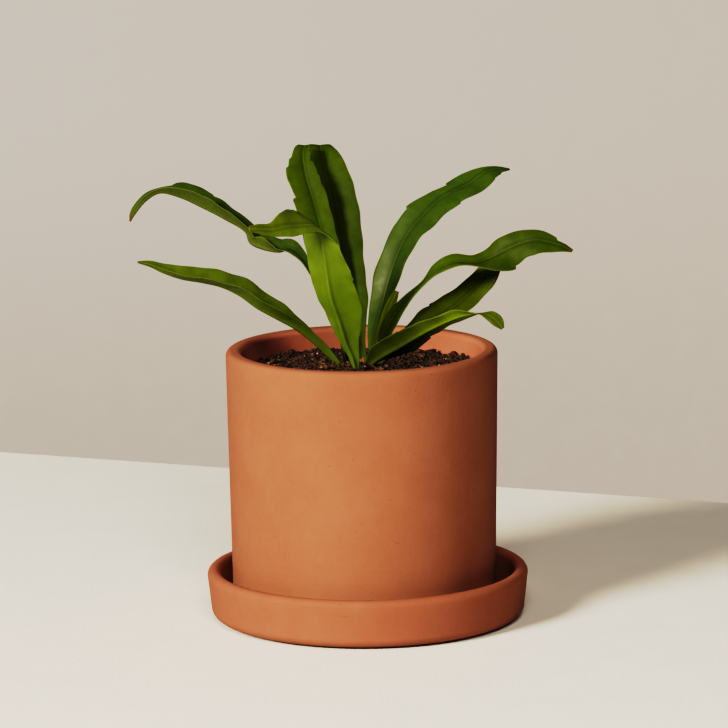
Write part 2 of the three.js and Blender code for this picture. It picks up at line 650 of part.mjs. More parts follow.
// The crown: a low dome of overlapping scales, with a slot for each stalk.
function makeCrown() {
  const rows = CROWN_SCALE_ROWS;
  const section = [[0, CROWN_BOTTOM], [CROWN_RADIUS - CROWN_FOOT_ROUND, CROWN_BOTTOM]];
  section.push([CROWN_RADIUS, CROWN_BOTTOM + CROWN_FOOT_ROUND]);
  for (let k = 0; k <= rows; k += 1) {
    const t = k / rows;
    const radius = CROWN_RADIUS * Math.cos((t * Math.PI) / 2);
    const z = CROWN_SHOULDER + (CROWN_TOP - CROWN_SHOULDER) * Math.sin((t * Math.PI) / 2);
    section.push([k === rows ? 0 : radius + (k % 2 ? CROWN_SCALE_RELIEF : 0), z]);
  }
  const dome = turned(section, CROWN_SIDES);
  dome.translate(CROWN_X, CROWN_Y, 0);
  const cut = FRONDS.reduce((left, frond) => left.subtract(toSolid(stalkSlot(frond))), toSolid(dome));
  const [body] = cut.decompose().sort((a, b) => b.volume() - a.volume());
  return piece('crown', toGeometry(body), SCALES);
}

const group = new THREE.Group();
group.add(makeSaucer(), makePot(), makeSoil(), makeCrown());
FRONDS.forEach((frond) => group.add(piece(frond.name, bladeGeometry(frond), frond.finish)));

export default group;
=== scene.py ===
"""A young bird's nest fern in a terracotta pot on its saucer, dressed for the camera. Metres."""
import math

import bpy
import numpy as np
from mathutils import Matrix, Vector, noise


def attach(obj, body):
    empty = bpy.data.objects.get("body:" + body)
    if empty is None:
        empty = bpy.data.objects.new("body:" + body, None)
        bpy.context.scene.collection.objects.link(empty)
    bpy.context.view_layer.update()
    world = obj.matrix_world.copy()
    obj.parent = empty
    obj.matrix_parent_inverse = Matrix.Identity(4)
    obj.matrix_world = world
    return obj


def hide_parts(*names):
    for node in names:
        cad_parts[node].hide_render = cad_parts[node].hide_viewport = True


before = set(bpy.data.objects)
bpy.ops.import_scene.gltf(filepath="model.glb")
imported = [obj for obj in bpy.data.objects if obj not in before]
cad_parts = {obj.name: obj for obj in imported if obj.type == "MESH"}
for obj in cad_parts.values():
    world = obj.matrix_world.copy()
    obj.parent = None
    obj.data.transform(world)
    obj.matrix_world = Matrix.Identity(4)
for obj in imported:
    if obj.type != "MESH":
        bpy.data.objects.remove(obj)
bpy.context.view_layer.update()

MM = 0.001
UP = np.array([0.0, 0.0, 1.0])

# Sizes shared with the solids, in millimetres.
POT_RADIUS_TOP = 60
POT_RADIUS_BOTTOM = 58.3
POT_HEIGHT = 115
POT_WALL = 7
POT_LIP_ROUND = 2.6
POT_FLOOR = 8
POT_EDGE_ROUND = 2
POT_INNER_ROUND = 4
DRAIN_RADIUS = 6
SAUCER_RADIUS_TOP = 71.2
SAUCER_RADIUS_BOTTOM = 69.6
SAUCER_HEIGHT = 22.5
SAUCER_WALL = 6
SAUCER_FLOOR = 5.5
SAUCER_EDGE_ROUND = 4.5
SAUCER_INNER_ROUND = 3
SAUCER_FOOT_INSET = 4
SAUCER_FOOT_HEIGHT = 1
SAUCER_OFFSET_X = 1.5
CLEARANCE = 0.3
SOIL_TOP = 111
SOIL_MOUND = 1.6
SOIL_LUMP = 0.8
CROWN_CENTRE = (0, 3)
CROWN_RADIUS = 11.5
CROWN_BOTTOM = 96
CROWN_SHOULDER = 110.5
CROWN_TOP = 113.5
POT_BASE_Z = SAUCER_FLOOR + CLEARANCE
RIM_Z = POT_BASE_Z + POT_HEIGHT

# The camera that took the photograph: a long lens, a little above the rim, hardly tilted.
CAMERA_LENS = 250
CAMERA_DISTANCE = 2.232
CAMERA_PITCH = math.radians(10.61)
CAMERA_ROLL = math.radians(-0.72)
CAMERA_TARGET = Vector((0.00101, 0, 0.11352))

# The blades, finer than the solids'. Thicknesses and the rib's relief are in millimetres.
STATION_NUMBERS = 8
CURVE_PARTS = 24
BLADE_STEPS = 230
HALF_COLUMNS = [0, 0.03, 0.07, 0.13, 0.22, 0.34, 0.47, 0.6, 0.73, 0.84, 0.92, 0.97, 1]
BLADE_THICKNESS = 0.62
MARGIN_THICKNESS = 0.2
RIB_WIDTH = 0.75
RIB_HEIGHT_BASE = 0.85
RIB_HEIGHT_TIP = 0.12
GROOVE_DEPTH = 0.16
GROOVE_WIDTH = 1.1
GROOVE_RIDGE_WIDTH = 0.4
HALF_ARCH = 0.05
NICK_STEP = 0.5
# The waves of a margin grow with its blade's width, and the right margin's lag behind.
WAVE_NO_WIDTH = 1.8
WAVE_WIDTH_RANGE = 6
WAVE_LAG = 2.1
# The foot of a frond is duller than its blade.
FOOT_DULLNESS = 0.55

# The side veins lie this far apart, in millimetres, and a dry tip has this colour.
VEIN_PITCH = 0.95
DRY_TIP = (0.075, 0.038, 0.012)

# Thrown clay is this uneven, in millimetres. Inside the second radius, in metres, the pot starts
# to turn a lighter, warmer red, and inside the first it is all that red: painted light, standing
# in for light bounced between its inner walls.
CLAY_UNEVEN = 0.04
POT_SIDES = 224
SAUCER_SIDES = 240
INNER_BOUNCE_RADII = (0.0532, 0.0555)

# The stations were picked on the photograph, with guessed depths. A scratch script brought them
# to millimetres with a fitted camera, and they were then changed by hand.
# Each frond has stations from its foot to its tip:
# [x, y, z, left width, right width, left tilt, right tilt], as in the solids. An eighth number
# slants the cross line along the rib, where the blade folds over aslant. nicks are small steps
# in the margin: (side, distance from the foot, run, depth).
FRONDS = [
    {
        "name": "frond_front_left",
        "slot": "frond_fresh",
        "heading": -115,
        "ripple": (0.2, 13, 0.6),
        "lobes": (0.15, 9, 1.2),
        "nicks": [(-1, 56, -6, 1.1)],
        "stations": [
            [-2.6, -3, 105, 1.15, 1.15, 10, 10],
            [-2.8, -5, 111.5, 1.5, 1.5, 20, 20],
            [-3.6, -7.5, 116.5, 2.9, 3.2, 30, 30],
            [-6.5, -11, 124.5, 6, 5.8, 28, 28],
            [-10, -17, 137, 11, 8.4, 25, 25],
            [-13, -22, 147, 11.9, 10.3, 24, 24],
            [-14.5, -26, 157, 11.3, 11.2, 18, 22, 0.1],
            [-15.7, -29.2, 168, 9.4, 10.2, 5, 15, 0.35],
            [-16.8, -31.5, 176.6, 7.8, 9, -8, 8, 0.6],
            [-17.9, -33.4, 179.6, 7, 8.6, -26, 26, 0.65],
            [-19.4, -35.2, 181.2, 5, 8.4, -37, 37, 0.65],
            [-22, -37.3, 181.8, 3.9, 8.4, -45, 45, 0.5],
            [-26.5, -40.5, 182.2, 4.6, 8.2, -55, 55, 0.25],
            [-32, -44.5, 182.6, 4.8, 6.4, -65, 65, 0.1],
            [-38, -48.5, 182, 3.2, 2.9, -70, 70],
            [-43.5, -52, 182.8, 2.2, 2.1, -70, 70],
            [-47.5, -54.5, 183.2, 1.2, 1.3, -70, 70],
        ],
    },
    {
        "name": "frond_front_right",
        "slot": "frond_fresh",
        "heading": -38,
        "ripple": (0.2, 14, 2.2),
        "lobes": (0.15, 10, 0.4),
        "nicks": [(-1, 45.2, 5, 1.2), (1, 37, 4, 0.5)],
        "stations": [
            [2.2, -3.2, 105, 1.15, 1.15, 10, 10],
            [2.6, -4.6, 111.5, 1.5, 1.5, 10, 20],
            [5, -7.5, 115.5, 4, 3.8, -5, 40],
            [9, -12, 119, 6.4, 6.6, -15, 50],
            [18, -20, 125.5, 8.2, 7.4, -25, 50],
            [28, -27, 132.5, 5.6, 6.4, -25, 45],
            [37, -33, 138, 5.6, 6, -15, 32],
            [44.5, -38, 141.5, 3.8, 4.8, -25, 38],
            [51.5, -42, 143, 2, 1.8, -5, 0],
            [55.5, -44.5, 142.3, 2.8, 2.4, 35, -35],
            [58.8, -46.5, 139.9, 2.9, 2.4, 40, -40],
            [61, -48, 137.3, 0.9, 0.9, 40, -40],
        ],
    },
    {
        "name": "frond_left_low",
        "slot": "frond_green",
        "heading": 196,
        "ripple": (0.2, 17, 1.1),
        "lobes": (0.15, 12, 2),
        "nicks": [],
        "stations": [
            [-7, 1.2, 105, 1.15, 1.15, 10, 10],
            [-8.8, 0.8, 111.5, 1.4, 1.4, 20, 30],
            [-15.5, -2, 119.1, 2.6, 2.6, 60, 65],
            [-22.5, -5, 126.2, 3.4, 3.4, 60, 65],
            [-28.7, -8, 131.5, 4.6, 5, 47, 65],
            [-36.3, -11, 136.3, 6.4, 7.4, 36, 65],
            [-45.1, -13.5, 141.7, 7.4, 8.2, 29, 65],
            [-52.6, -16, 147.7, 7.2, 8.4, 27, 65],
            [-60.3, -18.5, 152, 6.2, 7.2, 24, 65],
            [-68.9, -21, 154.6, 5.6, 6.6, 25, 68],
            [-77.6, -23.5, 156.6, 5, 5.9, 25, 68],
            [-85.7, -25.5, 159.8, 3.4, 4.4, 30, 60],
            [-91.6, -27, 163, 2, 2.8, 30, 55],
            [-96.8, -28, 164.8, 0.8, 0.9, 30, 40],
        ],
    },
    {
        "name": "frond_left_high",
        "slot": "frond_green",
        "heading": 162,
        "ripple": (0.15, 16, 0.2),
        "lobes": (0.2, 10, 0),
        "nicks": [(1, 131, 9, 0.9), (1, 113.5, -6, 0.6)],
        "stations": [
            [-5.8, 5.4, 105, 1.15, 1.15, 10, 10],
            [-6.6, 5.8, 111.5, 1.4, 1.4, 20, 20],
            [-9, 6.4, 124.3, 2.4, 2.4, 15, 40],
            [-15.5, 9.5, 141.5, 3, 3, 0, 40],
            [-24.1, 13, 157, 2.2, 2.2, -20, 40],
            [-27.6, 15.5, 160.8, 3.2, 3.2, -20, 45],
            [-31.2, 18, 162.6, 4, 4.6, -10, 50],
            [-36.3, 21.5, 160.9, 4.2, 6.2, 40, 52],
            [-43.3, 25, 161.7, 5, 6.6, 75, 52],
            [-48.8, 27, 164.1, 4.2, 6.4, 75, 46],
            [-50.7, 27.8, 168.8, 3, 5.6, 60, 36],
            [-60, 30, 174.5, 5.2, 6.6, 60, 45],
            [-71, 32, 180, 6.8, 8, 60, 52],
            [-80, 33, 184, 5.6, 7.2, 60, 55],
            [-89, 33.5, 186, 2.6, 3.4, 55, 45],
            [-95.3, 34, 182.4, 2, 3.4, 60, 60],
            [-101, 34.5, 175.4, 1.6, 2.4, 70, 70],
            [-102.3, 34.6, 173, 0.7, 0.8, 60, 60],
        ],
    },
    {
        "name": "frond_back_left",
        "slot": "frond_deep",
        "heading": 115,
        "ripple": (0.15, 12, 0.9),
        "lobes": (0.15, 11, 2.4),
        "nicks": [
            (-1, 85.5, 8, 1.8), (-1, 98.5, 3, 1), (-1, 102, 4, 0.8),
            (1, 87.5, 3, 0.4), (1, 92.5, 3, 0.5), (1, 100, 5, 1.1),
        ],
        "stations": [
            [-2.9, 8.4, 105, 1.15, 1.15, 10, 10],
            [-3.4, 8.9, 111.5, 1.5, 1.5, 20, 20],
            [-6.4, 13, 124.1, 3, 3.5, 5, 35],
            [-10.5, 17.5, 139.4, 5.8, 6, -5, 35],
            [-14.5, 21, 155.8, 8, 7, -10, 40],
            [-17.5, 23.4, 170.9, 8.8, 6.8, -10, 45],
            [-20, 25, 180.9, 8.8, 6.8, -10, 45],
            [-22.5, 27, 188.9, 8.8, 6.4, -10, 40],
            [-24.5, 30, 196.9, 8.2, 5, -10, 35],
            [-25, 33.5, 203.2, 4.8, 3.6, -8, 25],
            [-24, 37, 205.7, 2.6, 2.4, 0, 10],
            [-23.5, 41, 205.2, 1, 1, 0, 0],
        ],
    },
    {
        "name": "frond_back",
        "slot": "frond_deep",
        "heading": 84,
        "ripple": (0.12, 17, 0.3),
        "lobes": (0.2, 13, 1.1),
        "nicks": [],
        "stations": [
            [1, 9, 105, 1.15, 1.15, 10, 10],
            [0.8, 9.8, 111.5, 1.5, 1.5, 20, 20],
            [-1.5, 16, 122.3, 4, 3.8, 25, 25],
            [-4, 22, 136.1, 8, 8, 20, 20],
            [-7, 27, 152.1, 10, 9.6, 18, 18],
            [-10, 30, 168, 11, 11.6, 16, 16],
            [-12.5, 35, 181.5, 11.4, 11.8, 16, 16],
            [-15, 40, 193.5, 10.4, 10, 14, 14],
            [-16.5, 45, 201, 8, 6.6, 10, 10],
            [-17.5, 51, 203.6, 5.6, 4.4, 6, 6],
            [-17.5, 57, 202.4, 3.4, 3, 4, 4],
            [-17.5, 62, 199.4, 0.9, 0.9, 0, 0],
        ],
    },
    {
        "name": "frond_right_high",
        "slot": "frond_green",
        "heading": 48,
        "ripple": (0.15, 15, 1.7),
        "lobes": (0.2, 16, 0.9),
        "nicks": [
            (-1, 77.5, -9, 1), (-1, 97.5, -7, 0.9),
            (1, 96.3, 5, 0.8), (1, 117.5, 4, 0.6), (1, 123, 3, 0.5),
        ],
        "stations": [
            [4.8, 7, 105, 1.15, 1.15, 10, 10],
            [4.8, 8.2, 111.5, 1.4, 1.3, 10, 10],
            [6.5, 13.8, 126.4, 4, 4, 22, 18],
            [10, 17.8, 137.9, 6.3, 6.2, 20, 20],
            [13, 21, 148, 8, 8, 18, 18],
            [17, 25.5, 158.5, 7.6, 8.2, 22, 12],
            [22, 30, 167.5, 7.8, 8.6, 26, 2],
            [27, 33, 173, 8.7, 8.8, 32, -8],
            [34, 37.5, 179.5, 5.8, 8.8, 35, -15],
            [40.5, 41, 183, 5.2, 9, 35, -15],
            [49, 45.5, 186.5, 6.2, 7.8, 33, -17],
            [56.5, 49.5, 191, 3.2, 7.2, 31, -19],
            [62, 52.5, 192, 2, 4, 29, -21],
            [67.5, 55, 191.5, 0.8, 0.8, 25, -25],
        ],
    },
    {
        "name": "frond_right_middle",
        "slot": "frond_green",
        "heading": 2,
        "ripple": (0.15, 15, 0.7),
        "lobes": (0.15, 11, 1.9),
        "nicks": [(1, 92.8, 5, 1.4), (-1, 114.8, 4, 1)],
        "stations": [
            [6, 3.8, 105, 1.15, 1.15, 10, 10],
            [6.8, 3.7, 111.5, 1.4, 1.5, 10, 10],
            [9.5, 3.2, 122.6, 3, 3.8, 35, -25],
            [13, 4.2, 131.5, 3.8, 4.4, 50, -35],
            [19, 4.5, 139.5, 3.4, 4.4, 40, -15],
            [27, 4, 148, 3.4, 4.4, 8, 0],
            [33.5, 3, 154.5, 5.2, 5.6, 25, -8],
            [41.5, 2, 158, 5.8, 6.6, 32, -7],
            [50.5, 1, 158, 5.2, 7.4, 30, 0],
            [58, 0, 160.5, 5.6, 9.8, 50, -25],
            [64, -1, 164, 6.4, 10.2, 60, -60],
            [70.5, -2, 167, 5.8, 7.6, 60, -60],
            [77.5, -3.5, 168.5, 4.8, 6.6, 60, -60],
            [85.5, -5, 167, 3, 4.4, 60, -55],
            [89.5, -5.7, 165.6, 1.6, 2.6, 55, -50],
            [93, -6.5, 164, 0.8, 0.8, 50, -50],
        ],
    },
    {
        "name": "frond_right_low",
        "slot": "frond_deep",
        "heading": 16,
        "ripple": (0.15, 14, 2.6),
        "lobes": (0.2, 12, 0.5),
        "nicks": [(-1, 42, -6, 0.8)],
        "stations": [
            [6.6, -0.4, 105, 1.15, 1.15, 10, 10],
            [7.6, -0.8, 111.5, 1.5, 1.5, 30, 20],
            [14.5, 0.9, 119.6, 2.6, 3.6, 40, 0],
            [23, 4.6, 126.1, 5, 5.4, 45, -10],
            [31.5, 8, 131, 7.6, 6.8, 50, -20],
            [40.5, 11, 136, 7.4, 6.8, 50, -30],
            [48.5, 14, 142.5, 6, 6.8, 50, -35],
            [54.5, 17, 148, 5.6, 6.2, 50, -35],
            [58.5, 20, 153, 4.6, 4.6, 45, -35],
            [60.5, 23, 156.5, 1.4, 1.4, 45, -35],
        ],
    },
    {
        "name": "frond_young",
        "slot": "frond_deep",
        "heading": 80,
        "ripple": (0.1, 9, 0.5),
        "lobes": (0.1, 8, 1),
        "nicks": [],
        "stations": [
            [3.6, 5, 105, 0.9, 0.9, 10, 10],
            [4, 5.4, 111.5, 0.9, 0.9, 20, 20],
            [6, 6.7, 118.3, 1.2, 1.2, 20, 20],
            [9, 8.4, 127, 2.1, 2.1, 20, 20],
            [12, 9.8, 135, 2.4, 2.4, 10, 10],
            [14.3, 10.6, 140.5, 2, 2, 10, 10],
            [15.9, 11.4, 144, 1.1, 1.1, 10, 10],
        ],
    },
]


# Meshes.


def add_mesh(name, vertices, faces, material, attributes=None):
    """A smooth mesh object from millimetre points. An attribute has one number a vertex."""
    mesh = bpy.data.meshes.new(name)
    mesh.from_pydata((np.asarray(vertices) * MM).tolist(), [], faces)
    for key, values in (attributes or {}).items():
        layer = mesh.attributes.new(key, "FLOAT", "POINT")
        layer.data.foreach_set("value", np.asarray(values, dtype=np.float32))
    mesh.materials.append(material)
    mesh.polygons.foreach_set("use_smooth", [True] * len(mesh.polygons))
    mesh.update()
    obj = bpy.data.objects.new(name, mesh)
    bpy.context.scene.collection.objects.link(obj)
    return obj


def unit(v):
    return v / np.linalg.norm(v, axis=-1, keepdims=True)


def curve_rows(stations):
    """A centripetal Catmull-Rom curve through the stations."""
    rows = np.array([(row + [0])[:STATION_NUMBERS] for row in stations], float)
    full = np.vstack([2 * rows[0] - rows[1], rows, 2 * rows[-1] - rows[-2]])
    fine = []
    for i in range(len(rows) - 1):
        a, b, c, d = full[i : i + 4]
        ab, bc, cd = (math.sqrt(np.linalg.norm((q - p)[:3])) for p, q in ((a, b), (b, c), (c, d)))
        leave = ((b - a) / ab - (c - a) / (ab + bc) + (c - b) / bc) * bc
        enter = ((c - b) / bc - (d - b) / (bc + cd) + (d - c) / cd) * bc
        for k in range(CURVE_PARTS):
            t = k / CURVE_PARTS
            fine.append(
                b * (2 * t**3 - 3 * t**2 + 1) + leave * (t**3 - 2 * t**2 + t)
                + c * (3 * t**2 - 2 * t**3) + enter * (t**3 - t**2)
            )
    fine.append(rows[-1])
    return np.array(fine)


def even_rows(stations, steps):
    """The curve's rows at even distances along the rib, and those distances."""
    fine = curve_rows(stations)
    travel = np.concatenate([[0], np.cumsum(np.linalg.norm(np.diff(fine[:, :3], axis=0), axis=1))])
    distance = np.linspace(0, travel[-1], steps + 1)
    columns = [np.interp(distance, travel, fine[:, k]) for k in range(STATION_NUMBERS)]
    return np.stack(columns, 1), distance


def nick_depth(frond, side, distance):
    """How far the margin of one side is cut back at each distance from the foot."""
    cut = np.zeros_like(distance)
    for where, place, run, depth in frond["nicks"]:
        if where == side:
            past = (distance - place) * math.copysign(1, run)
            cut += depth * np.clip(1 - past / abs(run), 0, 1) * np.clip(past / NICK_STEP + 1, 0, 1)
    return cut


def blade_surface(frond, steps, columns):
    """The middle surface of a blade, with each point's width and its distance along the rib."""
    rows, distance = even_rows(frond["stations"], steps)
    heading = math.radians(frond["heading"])
    level = np.array([math.sin(heading), -math.cos(heading), 0.0])
    rib = rows[:, :3]
    along = unit(np.gradient(rib, axis=0))
    side = unit(level - along * (along @ level)[:, None])
    up = np.cross(side, along)
    left_tilt, right_tilt = np.radians(rows[:, 5]), np.radians(rows[:, 6])
    lean = ((right_tilt - left_tilt) / 2)[:, None]
    lift = -np.sin(lean) * side + np.cos(lean) * up
    widest = np.maximum(rows[:, 3], rows[:, 4])
    growth = np.clip((widest - WAVE_NO_WIDTH) / WAVE_WIDTH_RANGE, 0, 1)
    ripple_depth, ripple_pitch, ripple_phase = frond["ripple"]
    lobe_depth, lobe_pitch, lobe_phase = frond["lobes"]
    points, widths = [], []
    for v in columns:
        tilt = left_tilt if v < 0 else right_tilt
        lag = 0 if v < 0 else WAVE_LAG
        full = rows[:, 3] if v < 0 else rows[:, 4]
        hand = math.copysign(1, v)
        lobe = lobe_depth * np.sin(2 * math.pi * distance / lobe_pitch + lobe_phase + lag)
        width = (full + growth * lobe - nick_depth(frond, hand, distance)) * abs(v)
        swing = np.sin(2 * math.pi * distance / ripple_pitch + ripple_phase + lag)
        wave = growth * ripple_depth * v * v * swing
        arch = HALF_ARCH * full * math.sin(math.pi * abs(v)) * growth
        out = side * (hand * np.cos(tilt))[:, None] + up * np.sin(tilt)[:, None]
        face = np.cross(out * hand, along)
        slant = along * (hand * width * rows[:, 7])[:, None]
        line = rib + out * width[:, None] + slant + lift * wave[:, None] + face * arch[:, None]
        points.append(line)
        widths.append(width)
    return np.stack(points, 1), np.stack(widths, 1), distance


def slab_faces(rows, columns):
    """Quads of a closed sheet: its upper grid of points, then its lower grid."""
    below = rows * columns
    faces = []
    for i in range(rows - 1):
        for j in range(columns - 1):
            a, b = i * columns + j, (i + 1) * columns + j
            faces.append((a, a + 1, b + 1, b))
            faces.append((below + a, below + b, below + b + 1, below + a + 1))
        a, b = i * columns, (i + 1) * columns
        faces.append((a, b, below + b, below + a))
        a, b = a + columns - 1, b + columns - 1
        faces.append((a, below + a, below + b, b))
    for j in range(columns - 1):
        faces.append((j, below + j, below + j + 1, j + 1))
        a = (rows - 1) * columns + j
        faces.append((a, a + 1, below + a + 1, below + a))
    return faces


def make_frond(frond, material):
    """A blade with its rib and groove. It thins towards the tip and, fast, towards the margin."""
    columns = [-v for v in reversed(HALF_COLUMNS[1:])] + HALF_COLUMNS
    middle, widths, distance = blade_surface(frond, BLADE_STEPS, columns)
    rows = BLADE_STEPS + 1
    normal = unit(np.cross(np.gradient(middle, axis=1), np.gradient(middle, axis=0)))
    v = np.array(columns)[None, :]
    t = np.linspace(0, 1, rows)[:, None]
    body = BLADE_THICKNESS * (1 - 0.35 * t) / 2
    edge = np.clip((np.abs(v) - 0.9) / 0.1, 0, 1) ** 2
    half = body * (1 - edge) + MARGIN_THICKNESS / 2 * edge
    half = half * (1 - 0.75 * np.clip((t - 0.97) / 0.03, 0, 1))
    rib = np.exp(-((widths / RIB_WIDTH) ** 2))
    relief = (RIB_HEIGHT_BASE + (RIB_HEIGHT_TIP - RIB_HEIGHT_BASE) * t) * rib
    hollow = np.exp(-((widths / GROOVE_WIDTH) ** 2))
    ridge = np.exp(-((widths / GROOVE_RIDGE_WIDTH) ** 2))
    groove = GROOVE_DEPTH * (hollow - 0.9 * ridge)
    upper = middle + normal * (half - groove * (1 - t))[..., None]
    lower = middle - normal * (half + relief)[..., None]
    grid = (rows, len(columns))

    def both_faces(values):
        return np.tile(np.broadcast_to(values, grid).ravel(), 2)

    attributes = {
        "across": both_faces(widths * np.sign(v)),
        "share": both_faces(v),
        "along": both_faces(distance[:, None]),
        "reach": both_faces(t),
        "face": np.concatenate([np.ones(rows * len(columns)), np.zeros(rows * len(columns))]),
    }
    vertices = np.concatenate([upper.reshape(-1, 3), lower.reshape(-1, 3)])
    obj = add_mesh(frond["name"] + "_blade", vertices, slab_faces(*grid), material, attributes)
    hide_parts(frond["name"])
    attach(obj, "root")


def arc(x, z, radius, start, end, steps):
    """Points on a quarter round from one angle to another, in degrees."""
    angles = [math.radians(start + (end - start) * k / steps) for k in range(steps + 1)]
    return [(x + radius * math.cos(a), z + radius * math.sin(a)) for a in angles]


def subdivided(section, longest):
    """The closed section with its long straight runs cut into shorter ones."""
    out = []
    for (x0, z0), (x1, z1) in zip(section, section[1:] + section[:1]):
        count = max(1, math.ceil(math.hypot(x1 - x0, z1 - z0) / longest))
        out += [(x0 + (x1 - x0) * k / count, z0 + (z1 - z0) * k / count) for k in range(count)]
    return out


def make_turned(name, section, sides, material, centre, on_axis):
    """A thrown clay body: the section turned round +Z, very slightly uneven."""
    ring = section[1:-1] if on_axis else section
    angles = np.arange(sides) * 2 * math.pi / sides
    vertices = []
    for radius, z in ring:
        for a in angles:
            spot = Vector((math.cos(a) * 1.7, math.sin(a) * 1.7, z * 0.03))
            r = radius + (CLAY_UNEVEN * noise.noise(spot) if radius > 20 else 0)
            vertices.append((centre + r * math.cos(a), r * math.sin(a), z))
    faces = []
    spans = len(ring) - 1 if on_axis else len(ring)
    for i in range(spans):
        for k in range(sides):
            a, b = i * sides, ((i + 1) % len(ring)) * sides
            faces.append((a + k, a + (k + 1) % sides, b + (k + 1) % sides, b + k))
    if on_axis:
        first, last = len(vertices), len(vertices) + 1
        vertices += [(centre, 0, section[0][1]), (centre, 0, section[-1][1])]
        top = (len(ring) - 1) * sides
        for k in range(sides):
            faces.append((first, (k + 1) % sides, k))
            faces.append((last, top + k, top + (k + 1) % sides))
    obj = add_mesh(name, vertices, faces, material)
    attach(obj, "root")
    return obj


def make_pot(material):
    round_, inner = POT_LIP_ROUND, POT_RADIUS_TOP - POT_WALL
    inner_bottom, floor_top = POT_RADIUS_BOTTOM - POT_WALL, POT_BASE_Z + POT_FLOOR
    edge, turn = POT_EDGE_ROUND, POT_INNER_ROUND
    section = [
        (DRAIN_RADIUS, POT_BASE_Z),
        *arc(POT_RADIUS_BOTTOM - edge, POT_BASE_Z + edge, edge, -90, 0, 6),
        *arc(POT_RADIUS_TOP - round_, RIM_Z - round_, round_, 0, 90, 10),
        *arc(inner + round_, RIM_Z - round_, round_, 90, 180, 10),
        *arc(inner_bottom - turn, floor_top + turn, turn, 0, -90, 5),
        (DRAIN_RADIUS, floor_top),
    ]
    pot = make_turned("pot_body", subdivided(section, 5), POT_SIDES, material, 0, False)
    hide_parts("pot")


def make_saucer(material):
    lip = SAUCER_WALL / 2
    floor_edge = SAUCER_RADIUS_BOTTOM - SAUCER_WALL - SAUCER_INNER_ROUND
    foot = SAUCER_RADIUS_BOTTOM - SAUCER_EDGE_ROUND
    section = [
        (0, 0),
        (foot - SAUCER_FOOT_INSET, 0),
        (foot - SAUCER_FOOT_INSET, SAUCER_FOOT_HEIGHT),
        *arc(foot, SAUCER_FOOT_HEIGHT + SAUCER_EDGE_ROUND, SAUCER_EDGE_ROUND, -90, 0, 9),
        *arc(SAUCER_RADIUS_TOP - lip, SAUCER_HEIGHT - lip, lip, 0, 180, 16),
        *arc(floor_edge, SAUCER_FLOOR + SAUCER_INNER_ROUND, SAUCER_INNER_ROUND, 0, -90, 6),
        (0, SAUCER_FLOOR),
    ]
    fine = subdivided(section, 4)
    fine = fine[: fine.index((0, SAUCER_FLOOR)) + 1]
    saucer = make_turned("saucer_dish", fine, SAUCER_SIDES, material, SAUCER_OFFSET_X, True)
    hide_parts("saucer")


# The soil and the crown.


def pot_inner_radius(z):
    t = (z - POT_BASE_Z) / POT_HEIGHT
    return POT_RADIUS_BOTTOM + (POT_RADIUS_TOP - POT_RADIUS_BOTTOM) * t - POT_WALL - CLEARANCE


# Crumbs on the soil. The first ones are the large clods.
CHIP_COUNT = 4400
CLOD_COUNT = 160
CROWN_SCALE_COUNT = 260
# Small heaps of the potting mix: x, y, height and width.
HEAPS = (
    (41, 30.5, 3.6, 2.3), (46.5, 20, 2, 5), (30, 42, 1, 8), (-22, 43, 1.6, 9),
    (-37, 30, 1.4, 7), (-46, 14, 1.8, 5), (-12, -8, 1, 6), (16, 12, 1, 6),
)


def soil_height(x, y):
    """The mound of the solid, roughened into clods and crumbs."""
    spread = (x * x + y * y) / POT_RADIUS_TOP**2
    lumps = (
        math.sin(x * 0.71 + 1.3) * math.cos(y * 0.63 - 0.4)
        + 0.6 * math.sin(x * 0.33 - y * 0.47 + 2)
        + 0.5 * math.cos(x * 0.21 + y * 0.86)
    )
    clods = noise.fractal(Vector((x * 0.22, y * 0.22, 3.1)), 1.0, 2.1, 3)
    crumbs = noise.fractal(Vector((x * 0.8, y * 0.8, 7.7)), 0.9, 2.2, 4)
    heaps = sum(h * math.exp(-((x - a) ** 2 + (y - b) ** 2) / (w * w)) for a, b, h, w in HEAPS)
    mound = SOIL_MOUND * (1 - spread * 2) + lumps * SOIL_LUMP + heaps
    return SOIL_TOP + mound + clods * 1.1 + crumbs * 0.75


